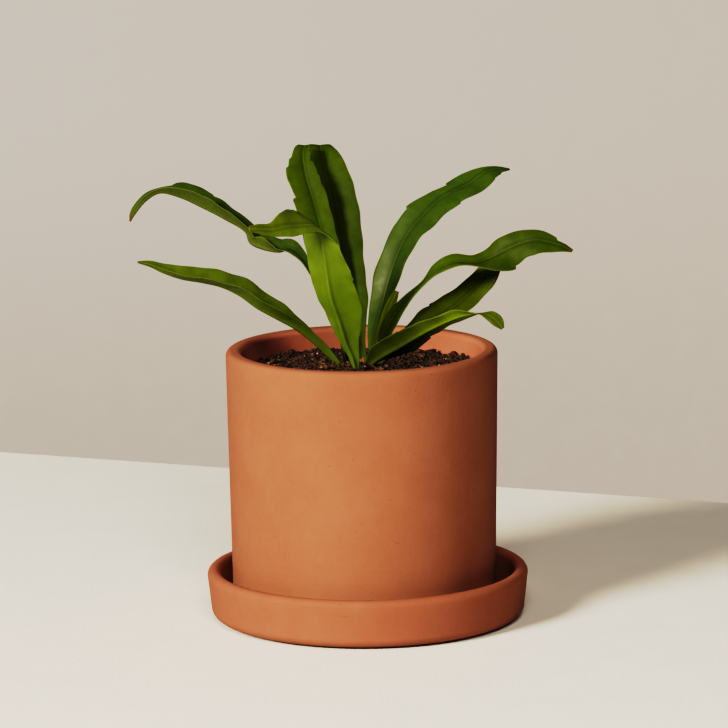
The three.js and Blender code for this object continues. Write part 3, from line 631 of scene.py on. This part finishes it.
def make_soil(material, chip_material):
    """The bed of potting mix as a closed round, and the crumbs and chips that lie on it."""
    rings, sides = 96, 300
    floor = POT_BASE_Z + POT_FLOOR + CLEARANCE
    edge = pot_inner_radius(SOIL_TOP - 2)
    vertices = [(0, 0, floor)]
    angles = np.arange(sides) * 2 * math.pi / sides
    foot = pot_inner_radius(floor)
    for radius, z in ((foot - 6, floor), (foot - 2, floor + 4)):
        vertices += [(radius * math.cos(a), radius * math.sin(a), z) for a in angles]
    for r in range(rings):
        radius = edge * (1 - r / rings)
        for a in angles:
            x, y = radius * math.cos(a), radius * math.sin(a)
            vertices.append((x, y, soil_height(x, y)))
    vertices.append((0, 0, soil_height(0, 0)))
    faces = []
    last = len(vertices) - 1
    total = rings + 2
    for k in range(sides):
        n = (k + 1) % sides
        faces.append((0, 1 + n, 1 + k))
        faces.append((last, 1 + (total - 1) * sides + k, 1 + (total - 1) * sides + n))
        for r in range(total - 1):
            a, b = 1 + r * sides, 1 + (r + 1) * sides
            faces.append((a + k, a + n, b + n, b + k))
    soil = add_mesh("soil_bed", vertices, faces, material)
    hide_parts("soil")
    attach(soil, "root")

    rng = np.random.default_rng(11)
    sphere_v, sphere_f = pebble_sphere()
    points, polygons, tint, offset = [], [], [], 0
    for number in range(CHIP_COUNT):
        radius = (edge - 2.6) * math.sqrt(rng.random())
        angle = rng.random() * 2 * math.pi
        x, y = radius * math.cos(angle), radius * math.sin(angle)
        if math.hypot(x - CROWN_CENTRE[0], y - CROWN_CENTRE[1]) < CROWN_RADIUS - 1:
            continue
        size = 0.25 + 0.6 * rng.random() ** 2
        if number < CLOD_COUNT:
            size = 0.9 + 0.7 * rng.random()
        longer, wider, higher = rng.random(), rng.random(), rng.random()
        stretch = np.array([0.9 + longer * 0.8, 0.7 + wider * 0.5, 0.5 + higher * 0.5]) * size
        shape = sphere_v * (1 + 0.7 * (rng.random((len(sphere_v), 1)) - 0.5)) * stretch
        spin = Matrix.Rotation(rng.random() * 6.3, 3, "Z")
        roll = Matrix.Rotation((rng.random() - 0.5) * 1.4, 3, "X")
        shape = shape @ np.array(spin @ roll).T
        place = np.array([x, y, soil_height(x, y) + stretch[2] * (0.1 + 0.5 * rng.random())])
        points.append(shape + place)
        polygons += [tuple(offset + i for i in f) for f in sphere_f]
        tint += [rng.random()] * len(sphere_v)
        offset += len(sphere_v)
    chips = add_mesh("soil_chips", np.concatenate(points), polygons, chip_material, {"tint": tint})
    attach(chips, "root")


def pebble_sphere():
    """A small ball of few points that the soil's crumbs are shaped from."""
    vertices, faces = [(0, 0, 1)], []
    rows, sides = 4, 6
    for r in range(1, rows):
        tilt = math.pi * r / rows
        for k in range(sides):
            a = 2 * math.pi * (k + 0.5 * (r % 2)) / sides
            out = math.sin(tilt)
            vertices.append((out * math.cos(a), out * math.sin(a), math.cos(tilt)))
    vertices.append((0, 0, -1))
    last = len(vertices) - 1
    for k in range(sides):
        n = (k + 1) % sides
        faces.append((0, 1 + k, 1 + n))
        faces.append((last, last - sides + n, last - sides + k))
        for r in range(rows - 2):
            a, b = 1 + r * sides, 1 + (r + 1) * sides
            faces.append((a + k, b + k, b + n, a + n))
    return np.array(vertices, float), faces


def make_crown(material):
    """The low scaly rootstock: a dome with overlapping, pointed, papery scales."""
    rng = np.random.default_rng(5)
    rings, sides = 22, 72
    vertices, faces, tint = [], [], []
    cx, cy = CROWN_CENTRE
    for r in range(rings):
        t = r / (rings - 1)
        radius = CROWN_RADIUS * math.cos(t * math.pi / 2 * 0.98)
        z = CROWN_SHOULDER - 1.2 + (CROWN_TOP - CROWN_SHOULDER) * math.sin(t * math.pi / 2)
        for k in range(sides):
            a = 2 * math.pi * k / sides
            x, y = cx + radius * math.cos(a), cy + radius * math.sin(a)
            vertices.append((x, y, z + 0.6 * noise.noise(Vector((x * 0.6, y * 0.6, z)))))
            tint.append(0.3)
    for r in range(rings - 1):
        for k in range(sides):
            n = (k + 1) % sides
            a, b = r * sides, (r + 1) * sides
            faces.append((a + k, a + n, b + n, b + k))
    faces.append(tuple((rings - 1) * sides + k for k in range(sides)))
    base = len(vertices)
    for k in range(sides):
        a = 2 * math.pi * k / sides
        x, y = cx + CROWN_RADIUS * math.cos(a), cy + CROWN_RADIUS * math.sin(a)
        vertices.append((x, y, CROWN_BOTTOM))
    tint += [0.2] * sides
    for k in range(sides):
        n = (k + 1) % sides
        faces.append((base + k, base + n, n, k))
    faces.append(tuple(base + k for k in reversed(range(sides))))
    for _ in range(CROWN_SCALE_COUNT):
        radius = CROWN_RADIUS * math.sqrt(rng.random()) * 0.97
        angle = rng.random() * 2 * math.pi
        t = math.acos(radius / CROWN_RADIUS) / (math.pi / 2)
        z = CROWN_SHOULDER - 1.3 + (CROWN_TOP - CROWN_SHOULDER) * math.sin(t * math.pi / 2)
        foot = np.array([cx + radius * math.cos(angle), cy + radius * math.sin(angle), z])
        lean = angle + (rng.random() - 0.5) * 0.9
        out = np.array([math.cos(lean), math.sin(lean), 0])
        rise = 0.5 + 0.6 * rng.random()
        along = unit(out * (1 - rise * 0.6) + UP * rise)
        side = unit(np.cross(along, out + UP * 0.01))
        face = np.cross(side, along)
        length, width = 2.2 + 2.4 * rng.random(), 0.5 + 0.4 * rng.random()
        shade = rng.random()
        start = len(vertices)
        steps = 6
        for k in range(steps + 1):
            s = k / steps
            w = width * math.sin(math.pi * (0.25 + 0.75 * s)) + 0.04
            middle = foot + along * length * s + face * 0.5 * s * s * length * 0.4
            for q, h in ((-1, 0), (0, 0.22), (1, 0)):
                vertices.append(tuple(middle + side * w * q + face * (h - 0.05)))
            for q, h in ((1, -0.16), (0, 0.06), (-1, -0.16)):
                vertices.append(tuple(middle + side * w * q + face * (h - 0.05)))
            tint += [shade] * 6
        for k in range(steps):
            for q in range(6):
                a, b = start + 6 * k, start + 6 * (k + 1)
                faces.append((a + q, a + (q + 1) % 6, b + (q + 1) % 6, b + q))
        faces.append(tuple(start + q for q in reversed(range(6))))
        faces.append(tuple(start + 6 * steps + q for q in range(6)))
    crown = add_mesh("crown_scales", vertices, faces, material, {"tint": tint})
    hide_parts("crown")
    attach(crown, "root")


# Materials.


class Nodes:
    """A node tree, built by short calls that start from one kind of coordinates."""

    def __init__(self, tree, coordinates):
        self.tree = tree
        self.place = self.new("TexCoord").outputs[coordinates]

    def link(self, source, target):
        self.tree.links.new(source, target)

    def new(self, kind, **settings):
        node = self.tree.nodes.new("ShaderNode" + kind)
        for key, value in settings.items():
            setattr(node, key, value)
        return node

    def put(self, value, socket):
        if isinstance(value, bpy.types.NodeSocket):
            self.link(value, socket)
        else:
            socket.default_value = value

    def attribute(self, name):
        return self.new("Attribute", attribute_name=name).outputs["Fac"]

    def math(self, operation, *values):
        node = self.new("Math", operation=operation)
        for socket, value in zip(node.inputs, values):
            self.put(value, socket)
        return node.outputs[0]

    def stretched(self, scale):
        node = self.new("Mapping")
        self.link(self.place, node.inputs["Vector"])
        node.inputs["Scale"].default_value = scale
        return node.outputs["Vector"]

    def noise(self, scale, detail=3.0, roughness=0.55, source=None):
        node = self.new("TexNoise")
        self.link(source or self.place, node.inputs["Vector"])
        for key, value in (("Scale", scale), ("Detail", detail), ("Roughness", roughness)):
            node.inputs[key].default_value = value
        return node.outputs["Fac"]

    def cells(self, scale):
        node = self.new("TexVoronoi")
        self.link(self.place, node.inputs["Vector"])
        node.inputs["Scale"].default_value = scale
        return node.outputs["Distance"]

    def span(self, value, low, high, to_low=0.0, to_high=1.0):
        """The value, eased from one range to another."""
        node = self.new("MapRange", interpolation_type="SMOOTHSTEP")
        self.link(value, node.inputs["Value"])
        ends = (("From Min", low), ("From Max", high), ("To Min", to_low), ("To Max", to_high))
        for key, number in ends:
            node.inputs[key].default_value = number
        return node.outputs["Result"]

    def mix(self, factor, a, b):
        node = self.new("Mix", data_type="RGBA")
        self.put(factor, node.inputs[0])
        for value, socket in ((a, node.inputs[6]), (b, node.inputs[7])):
            self.put((*value, 1.0) if isinstance(value, tuple) else value, socket)
        return node.outputs[2]

    def tinted(self, colour, mask, strength, other):
        """The colour, turned towards another one where the mask is 1."""
        return self.mix(self.math("MULTIPLY", mask, strength), colour, other)

    def scale(self, colour, factor):
        node = self.new("VectorMath", operation="SCALE")
        self.link(colour, node.inputs[0])
        self.put(factor, node.inputs["Scale"])
        return node.outputs["Vector"]

    def bump(self, height, distance, strength):
        node = self.new("Bump")
        node.inputs["Strength"].default_value = strength
        node.inputs["Distance"].default_value = distance
        self.link(height, node.inputs["Height"])
        return node.outputs["Normal"]


class Surface(Nodes):
    """A material's nodes, with the shader at their end."""

    def __init__(self, name):
        self.material = bpy.data.materials.new(name)
        self.material.use_nodes = True
        super().__init__(self.material.node_tree, "Object")
        self.shader = self.tree.nodes["Principled BSDF"]

    def finish(self, colour, roughness, normal, **constants):
        self.link(colour, self.shader.inputs["Base Color"])
        self.link(roughness, self.shader.inputs["Roughness"])
        self.link(normal, self.shader.inputs["Normal"])
        for key, value in constants.items():
            self.shader.inputs[key.replace("_", " ")].default_value = value
        return self.material


def toned(colour, *factors, more=0):
    """A colour times one factor, or times one for each channel, and a little more."""
    each = factors if len(factors) == 3 else factors * 3
    return tuple(c * f + more for c, f in zip(colour, each))


def terracotta(name, light, dark, inner=None):
    """Unglazed fired clay: fine grain, a few pores, faint turning rings and cloudy colour."""
    n = Surface(name)
    cloud = n.noise(38, 4, 0.6)
    blotch = n.noise(12, 2, 0.5)
    grain = n.noise(1500, 2, 0.6)
    speck = n.span(n.cells(420), 0.10, 0.16)
    speck_pick = n.span(n.noise(160, 1), 0.6, 0.68)
    colour = n.mix(n.span(cloud, 0.3, 0.7), light, dark)
    colour = n.tinted(colour, n.span(blotch, 0.45, 0.75), 0.25, toned(dark, 0.92, 0.86, 0.84))
    colour = n.tinted(colour, n.span(grain, 0.35, 0.7), 0.14, toned(light, 1.12, 1.2, 1.3))
    # Painted light: inside the pot the clay turns a lighter, warmer red, standing in for light
    # bounced between its walls.
    if inner is not None:
        spot = n.new("SeparateXYZ")
        n.link(n.place, spot.inputs[0])
        square = n.math("POWER", spot.outputs["X"], 2.0)
        square = n.math("MULTIPLY_ADD", spot.outputs["Y"], spot.outputs["Y"], square)
        colour = n.mix(n.span(n.math("SQRT", square), *INNER_BOUNCE_RADII, 1, 0), colour, inner)
    pore = n.math("MULTIPLY", n.math("SUBTRACT", 1.0, speck), speck_pick)
    colour = n.tinted(colour, pore, 0.45, toned(dark, 0.45, 0.4, 0.4))
    rings = n.noise(60, 3, 0.6, n.stretched((0.06, 0.06, 9)))
    height = n.math("MULTIPLY_ADD", grain, 0.5, n.math("MULTIPLY", rings, 0.55))
    height = n.math("MULTIPLY_ADD", n.noise(430, 3), 0.9, height)
    height = n.math("SUBTRACT", height, n.math("MULTIPLY", pore, 0.9))
    rough = n.span(n.noise(240, 2), 0.3, 0.7, 0.82, 0.95)
    return n.finish(colour, rough, n.bump(height, 0.00018, 0.55), Specular_IOR_Level=0.25)


def leaf(
    name, upper, lower, sheen=0.1, outer=1, outer_from=(0.35, 0.8), tip_brown=0.25, gloss=0.4
):
    """A fern blade: a pale rib with painted shade beside it, fine side veins, cloudy greens, a
    thin pale margin.
    """
    n = Surface(name)
    upper_dark, lower_light = toned(upper, 0.76), toned(lower, 1.18)
    along, reach, face = n.attribute("along"), n.attribute("reach"), n.attribute("face")
    from_rib = n.math("ABSOLUTE", n.attribute("across"))
    edge = n.math("ABSOLUTE", n.attribute("share"))
    cloud = n.span(n.noise(130, 3, 0.6), 0.3, 0.7)
    run = n.math("MULTIPLY_ADD", from_rib, -0.35, along)
    wander = n.math("MULTIPLY_ADD", n.noise(160, 2), 0.9, run)
    vein = n.math("SINE", n.math("MULTIPLY", wander, 2 * math.pi / VEIN_PITCH))
    vein = n.math("MULTIPLY", n.math("MULTIPLY_ADD", vein, 0.5, 0.5), n.span(from_rib, 0.6, 2.2))
    vein = n.math("MULTIPLY", vein, n.span(edge, 0.99, 0.86))
    rib = n.span(from_rib, 0.6, 0.2)
    # Painted shade: a darker band beside the rib, in its groove on the upper face and along the
    # raised rib below.
    rib_groove_shade = n.math("MULTIPLY", n.span(from_rib, 1.9, 0.9), n.math("SUBTRACT", 1.0, rib))
    top = n.mix(cloud, upper, upper_dark)
    top = n.tinted(top, vein, 0.08, toned(upper, 1.4, more=0.002))
    top = n.tinted(top, rib_groove_shade, 0.4, toned(upper_dark, 0.6))
    top = n.tinted(top, rib, 0.1, toned(upper, 1.5, more=0.004))
    under = n.mix(cloud, lower, lower_light)
    under = n.tinted(under, vein, 0.07, toned(lower, 0.8))
    under = n.tinted(under, rib, 0.12, toned(lower_light, 1.25, more=0.01))
    under = n.tinted(under, rib_groove_shade, 0.12, toned(lower, 0.7))
    colour = n.mix(face, under, top)
    # Partly painted light and shade: this factor lightens or darkens the outer part to make up for
    # shadows and shine that fall elsewhere.
    colour = n.scale(colour, n.span(reach, *outer_from, 1, outer))
    colour = n.tinted(colour, n.span(edge, 0.95, 1.0), 0.45, toned(lower_light, 1.3, more=0.01))
    stalk = n.span(reach, 0.24, 0.02)
    colour = n.tinted(colour, stalk, 0.35, toned(lower_light, 1.15, more=0.01))
    colour = n.tinted(colour, n.span(reach, 0.975, 1.0), tip_brown, DRY_TIP)
    height = n.math("MULTIPLY_ADD", vein, 0.05, n.math("MULTIPLY", n.noise(110, 0), 1.3))
    height = n.math("MULTIPLY_ADD", n.noise(700, 1, 0.5), 0.05, height)
    rough = n.span(n.noise(300, 2), 0.3, 0.7, gloss, gloss + 0.1)
    rough = n.math("ADD", rough, n.span(reach, 0.1, 0.36, FOOT_DULLNESS, 0))
    rough = n.math("MULTIPLY_ADD", n.math("SUBTRACT", 1.0, face), 0.1, rough)
    return n.finish(colour, rough, n.bump(height, 0.0002, 0.45), Specular_IOR_Level=sheen)


def potting_mix(name):
    """Moist, dark potting mix with a few rusty crumbs."""
    n = Surface(name)
    clod = n.noise(260, 5, 0.65)
    colour = n.mix(n.span(clod, 0.35, 0.7), (0.014, 0.0075, 0.0045), (0.055, 0.029, 0.017))
    colour = n.tinted(colour, n.span(n.noise(700, 2), 0.62, 0.72), 0.55, (0.13, 0.062, 0.028))
    height = n.math("MULTIPLY_ADD", clod, 1.5, n.cells(900))
    rough = n.span(n.noise(480, 3), 0.35, 0.65, 0.5, 0.98)
    return n.finish(colour, rough, n.bump(height, 0.0006, 0.8))


def chips(name):
    """Crumbs of bark and peat, most near black, some orange-brown, a few pale flakes."""
    n = Surface(name)
    tint = n.attribute("tint")
    colour = n.mix(n.span(tint, 0.1, 0.7), (0.01, 0.0055, 0.0035), (0.055, 0.03, 0.018))
    colour = n.mix(n.span(tint, 0.96, 0.97), colour, (0.12, 0.058, 0.024))
    colour = n.mix(n.span(tint, 0.985, 0.99), colour, (0.34, 0.22, 0.15))
    grimy = n.mix(0.5, colour, (0.01, 0.005, 0.003))
    colour = n.tinted(colour, n.span(n.noise(900, 3), 0.4, 0.7), 0.5, grimy)
    rough = n.span(n.noise(500, 2), 0.35, 0.6, 0.45, 0.98)
    return n.finish(colour, rough, n.bump(n.noise(1400, 3), 0.0003, 0.7))


def scales(name):
    """Dry, brown, papery scales, each of its own brown."""
    n = Surface(name)
    colour = n.mix(n.attribute("tint"), (0.05, 0.022, 0.008), (0.24, 0.125, 0.05))
    colour = n.tinted(colour, n.noise(800, 2), 0.5, (0.03, 0.014, 0.006))
    rough = n.span(n.noise(500, 2), 0.3, 0.7, 0.6, 0.9)
    return n.finish(colour, rough, n.bump(n.noise(1200, 2), 0.0002, 0.5))


def table_top(name):
    """A matt, pale table top."""
    n = Surface(name)
    cloud = n.span(n.noise(30, 5, 0.65), 0.3, 0.7)
    colour = n.mix(cloud, (0.683, 0.677, 0.648), (0.709, 0.703, 0.673))
    rough = n.span(n.noise(90, 3), 0.3, 0.7, 0.85, 0.95)
    bump = n.bump(n.noise(420, 4, 0.7), 0.0004, 0.4)
    return n.finish(colour, rough, bump, Specular_IOR_Level=0.2)


# The stage, the light and the camera.

TABLE_EDGE = ((-0.188, 0.371), (0.178, 0.2245))
# The wall's colours. Its darker right side and lower part are painted shade.
WALL_LEFT = (0.525, 0.456, 0.396)
WALL_RIGHT_SHADE = (0.5, 0.43, 0.37)
WALL_LOW_SHADE = (0.43, 0.375, 0.325)
# What the wall and the unlit room send to the object.
WALL_GLOW = (0.14, 0.125, 0.11)
DARK_ROOM = (0.01, 0.009, 0.008)
# The two lights' colours come from the same fit as the contrast below.
KEY_COLOUR = (1.0, 0.873, 0.7)
FILL_COLOUR = (1.0, 0.883, 0.746)
# Each light's azimuth and elevation in degrees, distance and size in metres, power and colour.
KEY = (43, 24, 3.4, 1.0, 224, KEY_COLOUR)
FRONT_FILL = (-5, 32, 3.4, 1.4, 92, FILL_COLOUR)
BACK_FILL = (180, 8, 3.4, 1.4, 130, FILL_COLOUR)

# The photograph's contrast. The darks are pressed down, the middle is steep and the lights are
# held back. A scratch program fitted a curve to the photograph's tones, and these values were
# chosen to follow it. An end is a scene value and the value that it is shown as.
TONE_FLOOR = 0.24
TONE_DARKS_END = (0.18, 0.16)
TONE_DARKS_POWER = 1.84
TONE_MIDDLE_END = (0.36, 0.43)
TONE_LIGHTS_SLOPE = 0.3
TONE_LIGHTS_RISE = 0.14
TONE_LIGHTS_EASE = 0.1
TONE_STEPS = 14


def make_table(material):
    """A pale table top. Its far edge runs a little aslant, as in the photograph."""
    (x0, y0), (x1, y1) = TABLE_EDGE
    slope = (y1 - y0) / (x1 - x0)
    reach = 2.6
    far = [(-reach, y0 + slope * (-reach - x0)), (reach, y0 + slope * (reach - x0))]
    near = -2.2
    corners = [(-reach, near), (reach, near), far[1], far[0]]
    vertices = [(x, y, z) for z in (0, -0.03) for x, y in corners]
    faces = [(0, 1, 2, 3), (7, 6, 5, 4), (0, 4, 5, 1), (1, 5, 6, 2), (2, 6, 7, 3), (3, 7, 4, 0)]
    mesh = bpy.data.meshes.new("table_top")
    mesh.from_pydata(vertices, [], faces)
    mesh.materials.append(material)
    table = bpy.data.objects.new("table_top", mesh)
    bpy.context.scene.collection.objects.link(table)


def area_light(name, azimuth, elevation, distance, size, power, colour):
    """A soft disk light: azimuth in degrees from the camera's side towards the left."""
    a, e = math.radians(azimuth), math.radians(elevation)
    target = Vector((0, 0, 0.09))
    away = Vector((-math.sin(a) * math.cos(e), -math.cos(a) * math.cos(e), math.sin(e)))
    data = bpy.data.lights.new(name, "AREA")
    data.shape = "DISK"
    data.size = size
    data.energy = power
    data.color = colour
    light = bpy.data.objects.new(name, data)
    light.location = target + away * distance
    light.rotation_euler = away.to_track_quat("Z", "Y").to_euler()
    bpy.context.scene.collection.objects.link(light)
    return light


def link_light(linking, kind, state, objects):
    """Names the objects that a light shines on, or that throw shadows in it."""
    group = bpy.data.collections.new(kind)
    for thing in objects:
        group.objects.link(thing)
    for entry in group.collection_objects:
        entry.light_linking.link_state = state
    setattr(linking, kind, group)


def make_world():
    """A pale wall behind the table, with painted shade that makes it a little darker to the right
    and below, and a dark room.
    """
    world = bpy.data.worlds.new("studio")
    world.use_nodes = True
    bpy.context.scene.world = world
    world.node_tree.nodes.clear()
    n = Nodes(world.node_tree, "Generated")
    parts = n.new("SeparateXYZ")
    n.link(n.place, parts.inputs[0])
    across = n.mix(n.span(parts.outputs["X"], -0.09, 0.09), WALL_LEFT, WALL_RIGHT_SHADE)
    wall = n.mix(n.span(parts.outputs["Z"], -0.13, -0.22), across, WALL_LOW_SHADE)
    mottle = n.noise(260, 5, 0.5)
    paler = n.mix(n.span(mottle, 0, 3), wall, WALL_LEFT)
    wall = n.mix(n.span(mottle, 0.3, 0.7), wall, paler)
    behind = n.mix(n.span(parts.outputs["Y"], -0.1, 0.35), DARK_ROOM, WALL_GLOW)
    seen, lit = n.new("Background"), n.new("Background")
    n.link(wall, seen.inputs["Color"])
    n.link(behind, lit.inputs["Color"])
    choice = n.new("MixShader")
    n.link(n.new("LightPath").outputs["Is Camera Ray"], choice.inputs[0])
    n.link(lit.outputs[0], choice.inputs[1])
    n.link(seen.outputs[0], choice.inputs[2])
    n.link(choice.outputs[0], n.new("OutputWorld").inputs["Surface"])


def shown_tone(value):
    """How bright a value of the scene is shown."""
    darks_end, darks_shown = TONE_DARKS_END
    middle_end, middle_shown = TONE_MIDDLE_END
    if value <= darks_end:
        return max(TONE_FLOOR * value, darks_shown * (value / darks_end) ** TONE_DARKS_POWER)
    if value <= middle_end:
        slope = (middle_shown - darks_shown) / (middle_end - darks_end)
        return darks_shown + slope * (value - darks_end)
    past = value - middle_end
    held_back = TONE_LIGHTS_RISE * (1 - math.exp(-past / TONE_LIGHTS_EASE))
    return middle_shown + TONE_LIGHTS_SLOPE * past + held_back


def set_tone():
    """Shows the picture with the photograph's contrast. Its points lie closer in the darks."""
    view = bpy.context.scene.view_settings
    view.view_transform = "Standard"
    view.use_curve_mapping = True
    curve = view.curve_mapping.curves[3]
    for step in range(1, TONE_STEPS):
        place = (step / TONE_STEPS) ** 2
        curve.points.new(place, shown_tone(place))
    curve.points[0].location = (0, 0)
    curve.points[-1].location = (1, shown_tone(1))
    view.curve_mapping.update()


def make_camera():
    pitch, roll = CAMERA_PITCH, CAMERA_ROLL
    ahead = Vector((0, math.cos(pitch), -math.sin(pitch)))
    level_up = Vector((0, math.sin(pitch), math.cos(pitch)))
    right = Vector((1, 0, 0)) * math.cos(roll) + level_up * math.sin(roll)
    up = Vector((-1, 0, 0)) * math.sin(roll) + level_up * math.cos(roll)
    data = bpy.data.cameras.new("camera")
    data.lens = CAMERA_LENS
    data.sensor_width = 36
    data.clip_end = 20
    camera = bpy.data.objects.new("camera", data)
    turn = Matrix((right, up, -ahead)).transposed().to_4x4()
    camera.matrix_world = Matrix.Translation(CAMERA_TARGET - ahead * CAMERA_DISTANCE) @ turn
    bpy.context.scene.collection.objects.link(camera)
    bpy.context.scene.camera = camera


make_camera()
make_world()
make_table(table_top("table_matt"))
key = area_light("key", *KEY)
pot_key = area_light("pot_key", *KEY)
back_fill = area_light("back_fill", *BACK_FILL)
back_fill.visible_glossy = False
back_fill.visible_camera = False
area_light("front_fill", *FRONT_FILL).visible_glossy = False

# The colours of each frond's upper face and underside, how strongly and how smoothly it shines,
# how light its outer part is and where that begins, and how brown its dry tip has turned. The
# colours and the outer part's lightness were set beside the photograph and are partly painted
# light and shade: they make up for shadows and shine that fall elsewhere than in it, so they
# aren't measured leaf colours.
LEAVES = {
    "frond_front_left": {
        "upper": (0.092, 0.126, 0.007), "lower": (0.075, 0.113, 0.002),
        "sheen": 0.2, "outer": 0.93, "tip_brown": 0.5,
    },
    "frond_front_right": {
        "upper": (0.022, 0.03, 0.002), "lower": (0.036, 0.05, 0.002),
        "sheen": 0.08, "outer": 2.7, "outer_from": (0.4, 0.68),
    },
    "frond_left_low": {
        "upper": (0.076, 0.108, 0.003), "lower": (0.057, 0.082, 0.003),
        "sheen": 0.16, "outer": 0.93,
    },
    "frond_left_high": {
        "upper": (0.042, 0.07, 0.006), "lower": (0.052, 0.07, 0.006),
        "sheen": 0.15, "outer": 0.8, "outer_from": (0.3, 0.5), "tip_brown": 0.95,
    },
    "frond_back_left": {
        "upper": (0.043, 0.066, 0.002), "lower": (0.04, 0.058, 0.002),
        "sheen": 0.02,
    },
    "frond_back": {
        "upper": (0.031, 0.048, 0.002), "lower": (0.038, 0.055, 0.002),
        "sheen": 0.02, "outer": 1.3, "outer_from": (0.64, 0.78),
    },
    "frond_right_high": {
        "upper": (0.031, 0.055, 0.003), "lower": (0.04, 0.06, 0.006),
        "sheen": 0.3, "outer": 1.25, "gloss": 0.44,
    },
    "frond_right_middle": {
        "upper": (0.055, 0.086, 0.002), "lower": (0.06, 0.082, 0.002),
        "sheen": 0.05, "outer": 0.6, "tip_brown": 0.7,
    },
    "frond_right_low": {
        "upper": (0.042, 0.057, 0.002), "lower": (0.034, 0.05, 0.002),
        "sheen": 0.04, "outer": 2.4, "outer_from": (0.74, 0.9),
    },
    "frond_young": {
        "upper": (0.11, 0.145, 0.002), "lower": (0.1, 0.13, 0.002), "sheen": 0.1,
    },
}

# The clay's lighter and darker red, and that of the pot's inner face, set in the same way. The
# inner face's lighter red is painted light, standing in for light bounced inside the pot.
POT_CLAY = ((0.2, 0.0918, 0.0606), (0.188, 0.0825, 0.0528), (0.272, 0.112, 0.079))
SAUCER_CLAY = ((0.208, 0.0904, 0.061), (0.195, 0.0813, 0.0533))

make_pot(terracotta("terracotta_pot", *POT_CLAY))
make_saucer(terracotta("terracotta_saucer", *SAUCER_CLAY))
make_soil(potting_mix("potting_mix"), chips("bark_chips"))
make_crown(scales("papery_scales"))
for entry in FRONDS:
    make_frond(entry, leaf("leaf_" + entry["name"], **LEAVES[entry["name"]]))

# The key light is two lights in one place. The photograph shows no shadow of the fronds on the
# pot's inner wall, which one key light throws. So the pot and the soil have a key light of their
# own that they alone block. It serves the likeness and isn't how the real light fell.
pot_and_soil = [bpy.data.objects[name] for name in ("pot_body", "soil_bed", "soil_chips")]
link_light(key.light_linking, "receiver_collection", "EXCLUDE", pot_and_soil)
link_light(pot_key.light_linking, "receiver_collection", "INCLUDE", pot_and_soil)
link_light(pot_key.light_linking, "blocker_collection", "INCLUDE", pot_and_soil)
# The back light shows the far side to other views, and leaves out the table.
table = bpy.data.objects["table_top"]
link_light(back_fill.light_linking, "receiver_collection", "EXCLUDE", [table])

set_tone()
